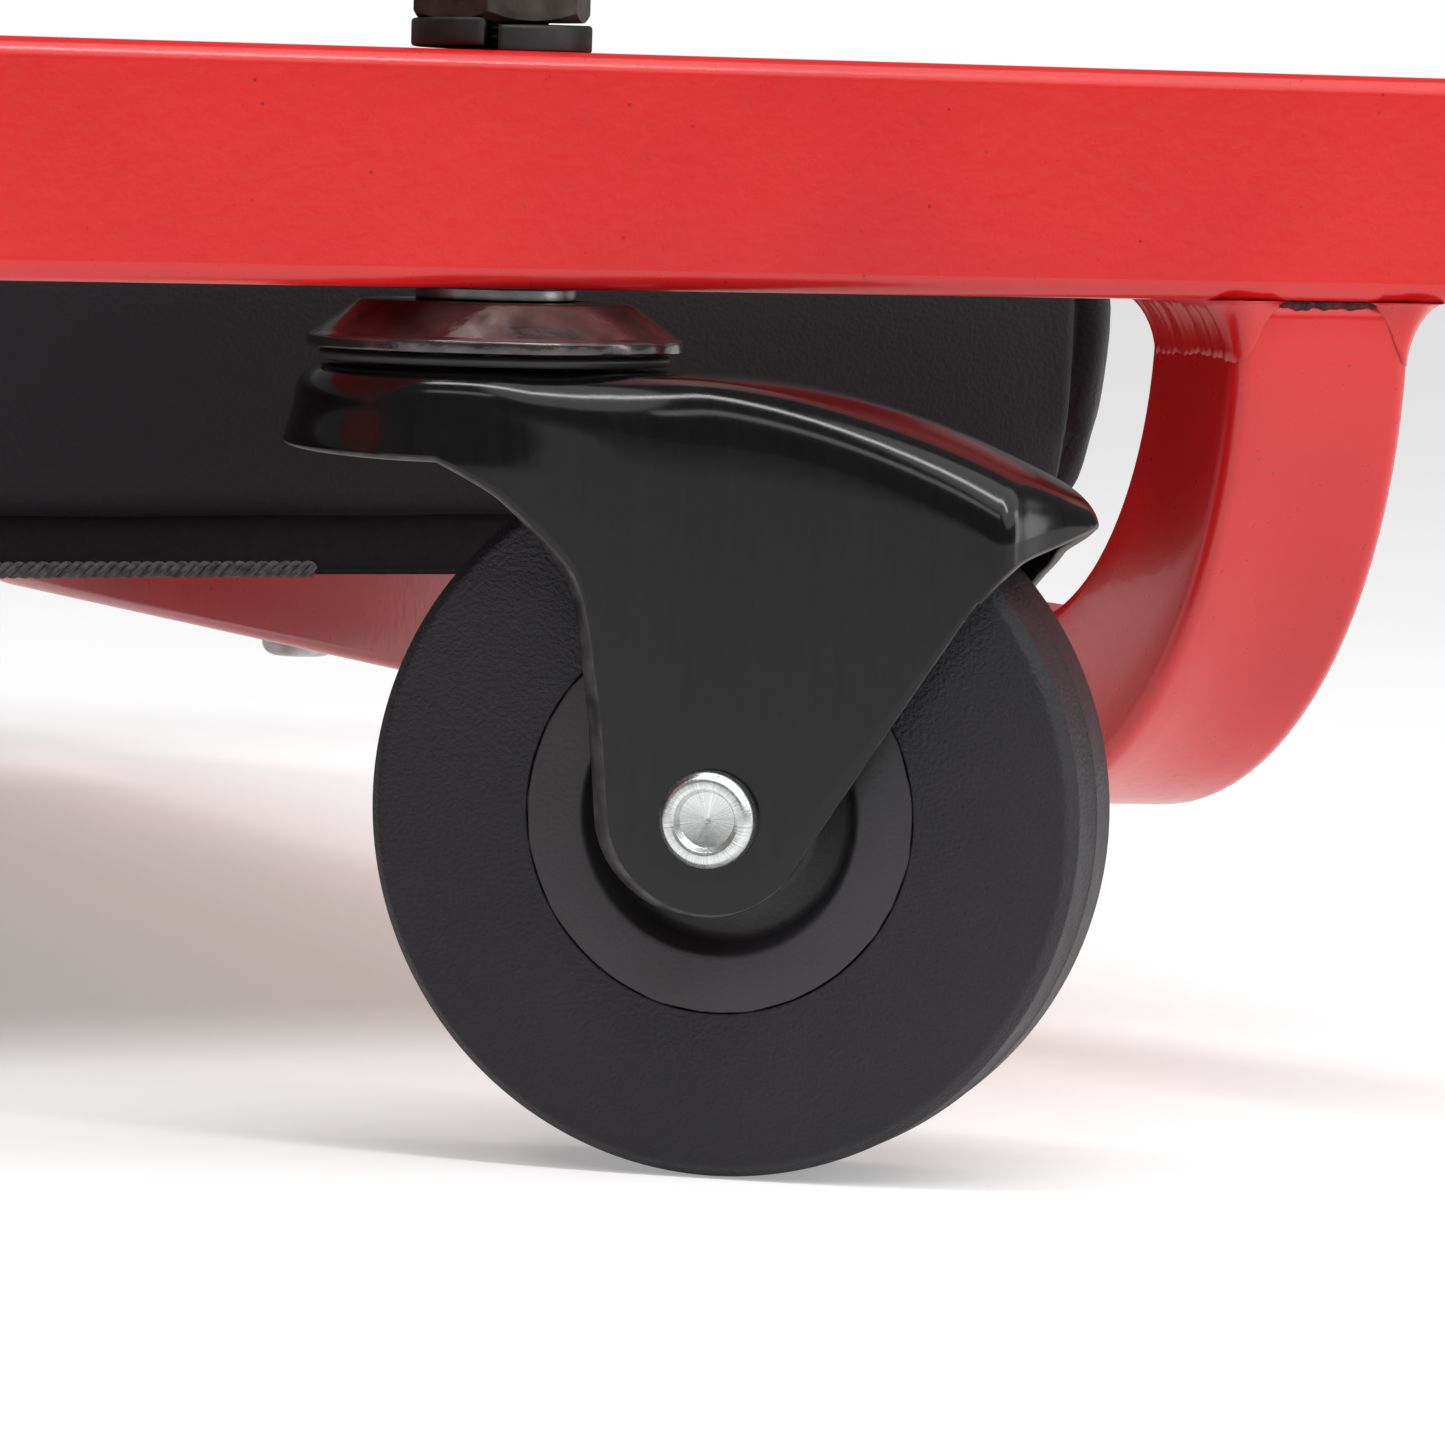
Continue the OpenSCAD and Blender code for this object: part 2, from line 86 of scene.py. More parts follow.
# ---------------------------------------------------------------- node materials


class Look:
    """A Principled material under construction, with short calls for the nodes it uses."""

    def __init__(self, name, colour, roughness, metallic=0.0, **sockets):
        self.material = bpy.data.materials.new(name)
        self.material.use_nodes = True
        self.nodes = self.material.node_tree.nodes
        self.links = self.material.node_tree.links
        self.shader = self.nodes["Principled BSDF"]
        self.shader.inputs["Base Color"].default_value = (*colour, 1)
        self.shader.inputs["Roughness"].default_value = roughness
        self.shader.inputs["Metallic"].default_value = metallic
        for socket, value in sockets.items():
            self.shader.inputs[socket.replace("_", " ")].default_value = value
        self.coordinates = self.nodes.new("ShaderNodeTexCoord").outputs["Object"]
        self.bumps = None

    def scaled(self, scale):
        """Object coordinates stretched by a different scale on each axis."""
        mapping = self.nodes.new("ShaderNodeMapping")
        mapping.inputs["Scale"].default_value = scale
        self.links.new(self.coordinates, mapping.inputs["Vector"])
        return mapping.outputs["Vector"]

    def noise(self, scale, detail=2.0, rough=0.5, vector=None):
        """Noise with about scale lumps to the metre."""
        node = self.nodes.new("ShaderNodeTexNoise")
        node.inputs["Scale"].default_value = scale
        node.inputs["Detail"].default_value = detail
        node.inputs["Roughness"].default_value = rough
        self.links.new(vector or self.coordinates, node.inputs["Vector"])
        return node.outputs["Fac"]

    def cells(self, scale, feature="F1"):
        """Voronoi distance with about scale cells to the metre."""
        node = self.nodes.new("ShaderNodeTexVoronoi")
        node.feature = feature
        node.inputs["Scale"].default_value = scale
        self.links.new(self.coordinates, node.inputs["Vector"])
        return node.outputs["Distance"]

    def ramp(self, value, stops):
        """Colour ramp; stops are (position, grey or colour)."""
        node = self.nodes.new("ShaderNodeValToRGB")
        elements = node.color_ramp.elements
        while len(elements) < len(stops):
            elements.new(0.5)
        for element, (position, colour) in zip(elements, stops):
            element.position = position
            grey = isinstance(colour, (int, float))
            element.color = (colour, colour, colour, 1) if grey else (*colour, 1)
        self.links.new(value, node.inputs["Fac"])
        return node.outputs["Color"]

    def math(self, operation, a, b=None):
        """A Math node on sockets or numbers."""
        node = self.nodes.new("ShaderNodeMath")
        node.operation = operation
        for socket, value in zip(node.inputs, (a, b)):
            if isinstance(value, (int, float)):
                socket.default_value = value
            elif value is not None:
                self.links.new(value, socket)
        return node.outputs["Value"]

    def colour(self, output):
        """Drives the base colour."""
        self.links.new(output, self.shader.inputs["Base Color"])
        return self

    def tone(self, value, dark, light, stops=(0.3, 0.7)):
        """Drives the base colour between two tones, which it reaches at the stops."""
        return self.colour(self.ramp(value, list(zip(stops, (dark, light)))))

    def roughness(self, value, low, high):
        """Drives the roughness between two limits."""
        node = self.nodes.new("ShaderNodeMapRange")
        node.inputs["To Min"].default_value = low
        node.inputs["To Max"].default_value = high
        self.links.new(value, node.inputs["Value"])
        self.links.new(node.outputs["Result"], self.shader.inputs["Roughness"])
        return self

    def bump(self, height, depth, strength=1.0):
        """Adds relief: depth is the height in metres that a value of 1 stands for."""
        node = self.nodes.new("ShaderNodeBump")
        node.inputs["Strength"].default_value = strength
        node.inputs["Distance"].default_value = depth
        self.links.new(height, node.inputs["Height"])
        if self.bumps is not None:
            self.links.new(self.bumps, node.inputs["Normal"])
        self.bumps = node.outputs["Normal"]
        self.links.new(self.bumps, self.shader.inputs["Normal"])
        return self

    def coat_bump(self):
        """Makes the clear coat follow the same relief."""
        self.links.new(self.bumps, self.shader.inputs["Coat Normal"])
        return self

    def split(self):
        """The x, y and z object coordinates."""
        node = self.nodes.new("ShaderNodeSeparateXYZ")
        self.links.new(self.coordinates, node.inputs["Vector"])
        return node.outputs


def red_powder_coat():
    look = Look("red_powder_coat", (0.6, 0.012, 0.012), 0.3, Coat_Weight=0.3, Coat_Roughness=0.1)
    tone = look.noise(38, 3)
    specks = look.cells(420)
    shade = look.ramp(tone, [(0.3, (0.58, 0.006, 0.007)), (0.7, (0.66, 0.009, 0.009))])
    mask = look.ramp(specks, [(0.05, 1.0), (0.11, 0.0)])
    mix = look.nodes.new("ShaderNodeMix")
    mix.data_type = "RGBA"
    patches = look.ramp(look.noise(300, 2), [(0.5, 0), (0.62, 0.85)])
    look.links.new(look.math("MULTIPLY", mask, patches), mix.inputs["Factor"])
    look.links.new(shade, mix.inputs[6])
    mix.inputs[7].default_value = (0.16, 0.004, 0.006, 1)
    look.colour(mix.outputs[2])
    look.roughness(look.noise(900, 2), 0.24, 0.36)
    look.bump(look.noise(620, 2), 0.000025).bump(look.noise(2600, 1), 0.000006).coat_bump()
    return look.material


def black_vinyl():
    look = Look(
        "black_vinyl", (0.02, 0.018, 0.021), 0.5,
        Sheen_Weight=0.05, Sheen_Roughness=0.5, Specular_IOR_Level=0.21,
    )
    grain = look.cells(2000, "SMOOTH_F1")
    fine = look.noise(2600, 3)
    look.tone(look.noise(9, 3), (0.0072, 0.006, 0.0076), (0.0108, 0.0092, 0.0116))
    look.roughness(grain, 0.48, 0.66)
    look.bump(look.ramp(grain, [(0.1, 1.0), (0.75, 0.0)]), 0.00006, 0.8).bump(fine, 0.00004, 0.7)
    look.bump(look.noise(45, 2), 0.0003, 0.2)
    return look.material


def vinyl_hem():
    """The cover's cut edge and turned under border: the same vinyl, duller, and darker than the cover as
    painted shade for a band that lies in shadow.
    """
    look = Look("vinyl_hem", (0.006, 0.005, 0.006), 0.75, Specular_IOR_Level=0.14)
    weave = look.cells(1300, "SMOOTH_F1")
    # near black tone: painted shade for the turned under band, which sits in the pad's shadow
    look.tone(look.noise(30, 3), (0.0035, 0.003, 0.0037), (0.0065, 0.0056, 0.0068))
    look.roughness(weave, 0.66, 0.85)
    look.bump(weave, 0.00008, 0.8).bump(look.noise(60, 2), 0.0004, 0.3)
    return look.material


def woven_cloth():
    look = Look("woven_backing", (0.016, 0.015, 0.016), 0.85, Sheen_Weight=0.3, Sheen_Roughness=0.4)
    x, y = look.split()[:2]
    thread = 2 * math.pi / (1.7 * MM)
    warp = look.math("SINE", look.math("MULTIPLY", x, thread))
    weft = look.math("SINE", look.math("MULTIPLY", y, thread))
    weave = look.math("MULTIPLY", warp, weft)
    weave_relief_and_shade = look.math("ADD", look.math("MULTIPLY", weave, 0.5), 0.5)
    # low parts of the weave are coloured darker: painted shade between the threads, from the same values as
    # the bump
    look.tone(weave_relief_and_shade, (0.006, 0.006, 0.007), (0.034, 0.032, 0.033), (0.15, 0.85))
    look.roughness(look.noise(500, 2), 0.72, 0.92)
    look.bump(weave_relief_and_shade, 0.0003).bump(look.noise(3200, 2), 0.00005)
    return look.material


def selvage():
    look = Look("selvage", (0.03, 0.028, 0.029), 0.75, Sheen_Weight=0.25, Sheen_Roughness=0.4)
    look.tone(look.noise(900, 3), (0.010, 0.009, 0.010), (0.075, 0.072, 0.072), (0.35, 0.7))
    look.roughness(look.noise(700, 2), 0.6, 0.85)
    look.bump(look.noise(2600, 3), 0.00015)
    return look.material


def fork_black():
    look = Look("black_gloss_steel", (0.009, 0.008, 0.009), 0.2, Specular_IOR_Level=0.36)
    drawn = look.noise(900, 3, vector=look.scaled((1.0, 1.0, 0.06)))
    fine = look.noise(2400, 3, vector=look.scaled((1.0, 1.0, 0.12)))
    look.tone(drawn, (0.0022, 0.0019, 0.0021), (0.0048, 0.0042, 0.0046), (0.3, 0.75))
    look.roughness(fine, 0.09, 0.2)
    look.bump(drawn, 0.000006, 0.5).bump(look.noise(260, 2), 0.00002, 0.5)
    return look.material


def fork_edge_painted_highlight():
    # lighter grey than the black paint: a painted highlight along the rounded rim, mottled at random
    look = Look("sheared_edge", (0.05, 0.048, 0.047), 0.34, 0.3)
    highlight_mottle = look.noise(420, 3)
    look.tone(highlight_mottle, (0.018, 0.017, 0.0175), (0.085, 0.082, 0.08), (0.35, 0.75))
    look.roughness(highlight_mottle, 0.22, 0.42)
    look.bump(look.noise(1500, 2), 0.00002)
    return look.material


def dark_plated():
    look = Look("dark_plated_steel", (0.06, 0.052, 0.053), 0.2, 0.85)
    dents = look.cells(330, "SMOOTH_F1")
    look.tone(look.noise(260, 3), (0.05, 0.043, 0.045), (0.13, 0.115, 0.115))
    look.roughness(look.noise(600, 2), 0.1, 0.24)
    look.bump(dents, 0.00035, 0.5).bump(look.noise(900, 2), 0.00005)
    return look.material


def steel(name, colour, rough, metallic=1.0, grain=1400, relief=0.00003, spread=0.25):
    """A plated or blackened steel with a fine mottled tone and a slight relief."""
    look = Look(name, colour, rough, metallic)
    dark = tuple(c * (1 - spread) for c in colour)
    light = tuple(min(1.0, c * (1 + spread)) for c in colour)
    look.tone(look.noise(grain * 0.25, 4), dark, light)
    look.roughness(look.noise(grain * 0.5, 3), rough * 0.8, min(1.0, rough * 1.3))
    look.bump(look.noise(grain, 3), relief)
    return look.material


def rivet_zinc():
    """Bright zinc with a radial grain in the dimple; the piece's own origin is on its axis."""
    look = Look("bright_zinc", (0.7, 0.73, 0.725), 0.22, 0.95)
    x, y = look.split()[:2]
    turn = look.math("ARCTAN2", y, x)
    combine = look.nodes.new("ShaderNodeCombineXYZ")
    look.links.new(look.math("SINE", turn), combine.inputs[0])
    look.links.new(look.math("COSINE", turn), combine.inputs[1])
    rays = look.noise(26, 3, 0.7, combine.outputs["Vector"])
    look.tone(rays, (0.5, 0.53, 0.53), (0.86, 0.88, 0.87))
    look.roughness(look.noise(1200, 2), 0.16, 0.34)
    look.bump(rays, 0.00004, 0.6).bump(look.noise(1500, 3), 0.000006)
    return look.material


def wheel_rubber():
    look = Look("wheel_rubber", (0.03, 0.028, 0.031), 0.5, Specular_IOR_Level=0.3)
    pebbles = look.noise(2100, 2, 0.55)
    look.tone(look.noise(45, 4), (0.0155, 0.0142, 0.017), (0.022, 0.0202, 0.024))
    look.roughness(look.noise(300, 2), 0.46, 0.62)
    look.bump(look.ramp(pebbles, [(0.35, 0.0), (0.65, 1.0)]), 0.00009, 0.9).bump(look.noise(700, 2), 0.00002)
    return look.material


def moulded_plastic(name, colour, rough):
    look = Look(name, colour, rough)
    dark = tuple(c * 0.8 for c in colour)
    light = tuple(c * 1.25 for c in colour)
    look.tone(look.noise(60, 4), dark, light)
    look.roughness(look.noise(500, 3), rough * 0.85, rough * 1.15)
    look.bump(look.noise(2200, 3), 0.00004)
    return look.material


def plywood():
    look = Look("plywood", (0.5, 0.34, 0.19), 0.65)
    plies = look.math("SINE", look.math("MULTIPLY", look.split()[2], 2 * math.pi / (2.6 * MM)))
    grain = look.noise(60, 5, vector=look.scaled((0.15, 1, 1)))
    both = look.math("ADD", look.math("MULTIPLY", plies, 0.18), grain)
    look.tone(both, (0.3, 0.18, 0.09), (0.6, 0.43, 0.26))
    look.bump(grain, 0.0002)
    return look.material


def gap_painted_shade():
    # near black with random dark red patches: painted shade for the unwelded crevice under the rail
    look = Look("weld_gap", (0.02, 0.004, 0.004), 0.8)
    look.tone(look.noise(900, 4), (0.004, 0.002, 0.002), (0.12, 0.012, 0.012), (0.35, 0.75))
    look.bump(look.noise(1500, 3), 0.0005)
    return look.material


MATERIALS = {
    "red_powder_coat": red_powder_coat(),
    "black_vinyl": black_vinyl(),
    "woven_backing": woven_cloth(),
    "selvage": selvage(),
    "vinyl_hem": vinyl_hem(),
    "black_gloss_steel": fork_black(),
    # the rim material's lighter colour is a painted highlight
    "edge": fork_edge_painted_highlight(),
    "dark_plated_steel": dark_plated(),
    "dark_zinc_steel": steel("dark_zinc_steel", (0.3, 0.3, 0.31), 0.32),
    "black_oxide_steel": steel("black_oxide_steel", (0.05, 0.042, 0.037), 0.42, 0.7, spread=0.45),
    "black_spring_steel": steel("black_spring_steel", (0.02, 0.019, 0.021), 0.45, 0.4),
    "bright_zinc": rivet_zinc(),
    "zinc_steel": steel("zinc_steel", (0.55, 0.56, 0.57), 0.3),
    "hinge_steel": steel("hinge_steel", (0.025, 0.024, 0.026), 0.38, 0.3),
    "bearing_steel": steel("bearing_steel", (0.6, 0.6, 0.62), 0.15, relief=0.000005),
    "wheel_rubber": wheel_rubber(),
    "hub_plastic": moulded_plastic("hub_plastic", (0.026, 0.024, 0.027), 0.46),
    "black_plastic": moulded_plastic("black_plastic", (0.02, 0.02, 0.021), 0.45),
    "black_rubber": moulded_plastic("black_rubber", (0.018, 0.017, 0.018), 0.6),
    "plywood": plywood(),
    "weld_gap": gap_painted_shade(),
}

# ---------------------------------------------------------------- mesh helpers


def make_mesh(name, points, faces, slots, face_slots=None):
    """A mesh from points in metres; slots are keys of MATERIALS and face_slots one index a face."""
    mesh = bpy.data.meshes.new(name)
    mesh.from_pydata([tuple(p) for p in points], [], faces)
    for slot_name in slots:
        mesh.materials.append(MATERIALS[slot_name])
    mesh.polygons.foreach_set("use_smooth", [True] * len(mesh.polygons))
    if face_slots:
        mesh.polygons.foreach_set("material_index", face_slots)
    mesh.validate()
    mesh.update()
    return mesh


def place(name, mesh, body, slot, matrix=None, replaces=()):
    """Adds a piece that rides on a CAD body and stands for some of its nodes."""
    piece = bpy.data.objects.new(name, mesh)
    bpy.context.scene.collection.objects.link(piece)
    if matrix is not None:
        piece.matrix_world = matrix
    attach(piece, body)
    if replaces:
        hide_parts(*replaces)
    return piece


def grid_faces(rows, columns, wrap_rows=False, wrap_columns=False):
    """Quads of a grid of points that are stored row by row."""
    faces = []
    for i in range(rows if wrap_rows else rows - 1):
        for j in range(columns if wrap_columns else columns - 1):
            a, b = i % rows, (i + 1) % rows
            c, d = j % columns, (j + 1) % columns
            faces.append((a * columns + c, b * columns + c, b * columns + d, a * columns + d))
    return faces


def capped_faces(rows, columns):
    """Faces of a tube stored ring by ring, with a flat cap at each end."""
    faces = grid_faces(rows, columns, wrap_columns=True)
    faces.append(tuple(range(columns)))
    faces.append(tuple((rows - 1) * columns + k for k in reversed(range(columns))))
    return faces


def rounded_path(corners, steps=5):
    """A closed outline from (x, y, radius) corners, with each corner turned into an arc."""
    path = []
    count = len(corners)
    for i, (x, y, radius) in enumerate(corners):
        corner = Vector((x, y))
        before = Vector(corners[i - 1][:2]) - corner
        after = Vector(corners[(i + 1) % count][:2]) - corner
        if radius <= 0:
            path.append(tuple(corner))
            continue
        half = before.angle(after) / 2
        reach = min(radius / math.tan(half), before.length * 0.49, after.length * 0.49)
        start, end = corner + before.normalized() * reach, corner + after.normalized() * reach
        for k in range(steps + 1):
            t = k / steps
            path.append(tuple(start * (1 - t) ** 2 + corner * 2 * t * (1 - t) + end * t * t))
    return path


def revolve(name, corners, slot, segments=96, steps=5, wobble=None):
    """Turns a closed (radius, height, fillet) outline in millimetres about Z."""
    path = rounded_path(corners, steps)
    points = []
    for i in range(segments):
        a = 2 * math.pi * i / segments
        for r, z in path:
            shift = wobble(r, a, z) if wobble else 0.0
            points.append(Vector(((r + shift) * math.cos(a), (r + shift) * math.sin(a), z)) * MM)
    faces = grid_faces(segments, len(path), wrap_rows=True, wrap_columns=True)
    mesh = make_mesh(name, points, faces, [slot])
    if signed_volume(mesh) < 0:
        mesh.flip_normals()
    return mesh


def signed_volume(mesh):
    """Six times the volume that the mesh's faces enclose, negative when they face inwards."""
    total = 0.0
    for polygon in mesh.polygons:
        corners = [mesh.vertices[v].co for v in polygon.vertices]
        for k in range(1, len(corners) - 1):
            total += corners[0].dot(corners[k].cross(corners[k + 1]))
    return total


def smooth_step(t):
    t = min(1.0, max(0.0, t))
    return t * t * (3 - 2 * t)


def weld_points(mesh, distance=0.00001):
    """Joins points that fall on one another and drops the faces that collapse."""
    work = bmesh.new()
    work.from_mesh(mesh)
    bmesh.ops.remove_doubles(work, verts=work.verts, dist=distance)
    bmesh.ops.dissolve_degenerate(work, edges=work.edges, dist=distance / 10)
    bmesh.ops.recalc_face_normals(work, faces=work.faces)
    work.to_mesh(mesh)
    work.free()
    return mesh


# ---------------------------------------------------------------- casters

FORK_PLATE = 2.5
CUP_R = 21.3
CUP_FLARE = 1.3
CUP_EDGE = -18.0
LEG_OUT = 13.7
CROWN_TOP = -8.5
CROWN_R = 81.4
CROWN_FROM = 22.0
LEG_END_R = 10.6
PROW = Vector((66.2, 0.0))
PROW_CORNER = Vector((59.6, 13.3))
PROW_EDGE = -23.6
PROW_START = 0.12
PROW_LOW = -27.0
RIM_STEPS = 6
TRAIL = PHOTO_CASTER.trail / MM
DROP = PHOTO_CASTER.drop / MM


def crown_height(t, d):
    """Height of the crown: level over the bearing, then a long arc down that also arches across."""
    run = max(0.0, t - CROWN_FROM)
    arch = 2.4 * smooth_step((t - 16) / 34) * (d / LEG_OUT) ** 2
    return CROWN_TOP - (CROWN_R - math.sqrt(CROWN_R**2 - run**2)) - arch


def shoulder_radius(t):
    """Radius of the pressed shoulder, small round the bearing cup and larger over the wheel."""
    return 3.6 + 3.6 * smooth_step((t - 2) / 26) - 3.4 * smooth_step((t - 58) / 8)


def half_width(t):
    """Half the fork's width: the round bearing cup, a long waist and then the parallel legs."""
    leave, settle = 9.0, 28.0
    if t <= leave:
        return math.sqrt(CUP_R**2 - t**2)
    start = math.sqrt(CUP_R**2 - leave**2)
    share = min(1.0, (t - leave) / (settle - leave))
    slope = -leave / start * (settle - leave)
    return (
        start * (2 * share**3 - 3 * share**2 + 1)
        + slope * (share**3 - 2 * share**2 + share)
        + LEG_OUT * (3 * share**2 - 2 * share**3)
    )


def catmull(points, steps):
    """A smooth curve through the points."""
    path = []
    for i in range(len(points) - 1):
        p0 = Vector(points[max(i - 1, 0)])
        p1, p2 = Vector(points[i]), Vector(points[i + 1])
        p3 = Vector(points[min(i + 2, len(points) - 1)])
        for k in range(steps):
            t = k / steps
            path.append(
                0.5
                * (
                    2 * p1
                    + (p2 - p0) * t
                    + (2 * p0 - 5 * p1 + 4 * p2 - p3) * t * t
                    + (3 * p1 - p0 - 3 * p2 + p3) * t**3
                )
            )
    path.append(Vector(points[-1]))
    return path


def leg_edge():
    """The lower edge of one side of the fork, from beside the bearing to the horn, as (t, z)."""
    web = [(0, -18.0), (3.2, -19.7), (6.4, -21.7), (9.4, -24.6), (12.4, -27.8), (14.4, -31.0), (15.5, -35.5)]
    front = catmull(web, 6) + [Vector((16.9, -45.5))]
    start, end = math.radians(187), math.radians(326)
    turn = 20
    arc = [
        Vector((TRAIL, -DROP)) + LEG_END_R * Vector((math.cos(a), math.sin(a)))
        for a in (start + (end - start) * k / turn for k in range(turn + 1))
    ]
    rear = catmull([tuple(arc[-1]), (54.2, -34.2), (56.6, -31.2), (58.2, -29.2)], 6)[1:]
    return front + arc + rear


def fork_section(centre, outline, edge_z):
    """One closed cross-section of the fork: over the crown and shoulder, round the edge and back."""
    top_steps, arc_steps, wall_steps, edge_round = 10, 9, 14, 0.5
    span = outline - centre
    width = span.length
    unit = span / width
    radius = min(shoulder_radius(outline.x), width * 0.9)
    flare = CUP_FLARE * smooth_step((12 - outline.x) / 12)
    shoulder = centre + unit * (width - radius)
    ahead = centre + unit * (width - radius + 0.1)
    slope = (crown_height(shoulder.x, shoulder.y) - crown_height(ahead.x, ahead.y)) / 0.1
    tilt = math.atan(max(0.0, slope)) * 0.9
    flat = width - radius * (1 - math.sin(tilt))
    start = centre + unit * flat
    z_start = crown_height(start.x, start.y)
    wall_z = z_start - radius * math.cos(tilt)
    thick = FORK_PLATE - 1.3 * smooth_step((outline.x - 59) / 6)
    drop = wall_z - (edge_z + edge_round)
    last_turn = math.pi / 2
    if drop < 0:
        cosine = math.cos(tilt) - (z_start - edge_z - edge_round) / radius
        last_turn = math.acos(min(1.0, max(0.0, cosine)))
        drop = 0.0

    def at(kind, share, inset):
        if kind == "crown":
            p = centre + unit * flat * share
            return p, crown_height(p.x, p.y) - inset
        if kind == "arc":
            a = tilt + (last_turn - tilt) * share
            bend = max(0.3, radius - inset)
            out = flat - radius * math.sin(tilt) + bend * math.sin(a)
            return centre + unit * out, wall_z + bend * math.cos(a)
        down = drop * share
        return centre + unit * (width - inset + flare * smooth_step(down / 6)), wall_z - down

    stops = [("crown", k / top_steps) for k in range(top_steps)]
    stops += [("arc", k / arc_steps) for k in range(arc_steps)]
    if last_turn == math.pi / 2:
        stops += [("wall", k / wall_steps) for k in range(wall_steps + 1)]
    else:
        stops += [("arc", 1.0)] * (wall_steps + 1)
    outer = [at(kind, share, 0.0) for kind, share in stops]
    inner = [at(kind, share, thick) for kind, share in stops]
    (p_out, z_out), (p_in, z_in) = outer[-1], inner[-1]
    rim_z = min(z_out, z_in) * 0.5 + z_out * 0.5
    rim = [
        (p_out.lerp(p_in, 0.5 - 0.5 * math.cos(a)), rim_z - edge_round * math.sin(a))
        for a in (math.pi * k / RIM_STEPS for k in range(1, RIM_STEPS))
    ]
    loop = outer + rim + inner[::-1]
    return [Vector((p.x, p.y, z)) for p, z in loop], len(outer)


def fork_mesh():
    """Pressed fork: a drawn cup over the bearing that runs out into two legs and a pointed horn."""
    spine_from, spine_to, reach = 18.0, 57.0, 58.2
    side = []
    for t, z in leg_edge():
        spine = max(0.0, t - spine_from) * spine_to / (reach - spine_from)
        side.append((Vector((min(spine, t, spine_to), 0)), Vector((t, half_width(t))), z))
    corner_steps, prow_steps = 7, 12
    _, edge_end, z_end = side[-1]
    bend, join = Vector((59.4, 13.7)), PROW_CORNER.lerp(PROW, PROW_START)
    for k in range(1, corner_steps + 1):
        share = k / corner_steps
        bow = edge_end * (1 - share) ** 2 + bend * 2 * share * (1 - share) + join * share**2
        side.append((Vector((spine_to, 0)), bow, z_end + (PROW_LOW - z_end) * share))
    for k in range(1, prow_steps + 1):
        share = k / prow_steps
        point = PROW_CORNER.lerp(PROW, PROW_START + (1 - PROW_START) * share)
        point.x += 0.5 * math.sin(math.pi * share)
        side.append((Vector((spine_to, 0)), point, PROW_LOW + (PROW_EDGE - PROW_LOW) * share**0.8))
    front, turns = [], 30
    for k in range(1, turns):
        a = math.pi / 2 + math.pi * k / turns
        rim_point = CUP_R * Vector((math.cos(a), math.sin(a)))
        front.append((Vector((0, 0)), rim_point, CUP_EDGE + 0.8 * math.cos(a) ** 2))
    other = [(c, Vector((o.x, -o.y)), z) for c, o, z in side]
    points, columns, outer_count = [], 0, 0
    order = side[::-1] + front + other[:-1]
    for centre, outline, edge_z in order:
        loop, outer_count = fork_section(centre, outline, edge_z)
        columns = len(loop)
        points += [p * MM for p in loop]
    faces = grid_faces(len(order), columns, wrap_rows=True)
    # the rim faces take the lighter edge material, a painted highlight along the pressed edge
    rim_columns = range(outer_count - 1, outer_count - 1 + RIM_STEPS)
    picks = [1 if f % (columns - 1) in rim_columns else 0 for f in range(len(faces))]
    mesh = make_mesh("fork_pressing", points, faces, ["black_gloss_steel", "edge"], picks)
    return weld_points(mesh, 0.00002)


def tyre_mesh():
    outer, half, ring = 38.5, 10.0, 20.95
    seam = 0.12
    return revolve(
        "tyre_moulding",
        [
            (ring, -half, 0.25), (37.2, -half, 0.8), (outer - 0.12, -half + 1.6, 0.8), (outer, -0.35, 0),
            (outer + seam, 0, 0), (outer, 0.35, 0), (outer - 0.12, half - 1.6, 0.8), (37.2, half, 0.8),
            (ring, half, 0.25),
        ],
        "wheel_rubber", 192, 4,
    )


def hub_mesh():
    half, ring, recess, boss, bore, depth = 9.93, 20.85, 14.8, 8.5, 6.05, 4.6
    boss_half = 10.8

    def flash(r, a, z):
        edge = r > ring - 0.05 and abs(z) > half - 0.3
        return 0.22 * noise.noise(Vector((math.cos(a) * 9, math.sin(a) * 9, z))) if edge else 0.0

    side = [
        (bore, boss_half, 0.3), (boss, boss_half, 0.5), (boss + 0.4, half - depth, 1.4),
        (recess - 1.3, half - depth, 1.2), (recess, half, 0.7), (ring, half, 0.3),
    ]
    mirrored = [(r, -z, f) for r, z, f in reversed(side)]
    return revolve("hub_moulding", side + mirrored, "hub_plastic", 160, 5, flash)


def rivet_mesh():
    shaft, head, out, rise = 4.0, 5.15, 13.7, 2.5
    dimple, depth = 3.3, 1.3
    floor = out + rise - depth
    side = [
        (0.001, floor - 0.25, 0), (0.5, floor - 0.2, 0.1), (dimple - 0.35, floor, 0.12),
        (dimple, out + rise - 0.12, 0.12), (dimple + 0.35, out + rise, 0.2),
        (head - 0.75, out + rise, 0.7), (head, out + rise - 0.95, 0.8), (head, out + 0.02, 0.2),
        (shaft, out + 0.02, 0),
    ]
    mirrored = [(r, -z, f) for r, z, f in reversed(side)]
    return revolve("axle_rivet_pressing", side + mirrored, "bright_zinc", 96, 5)


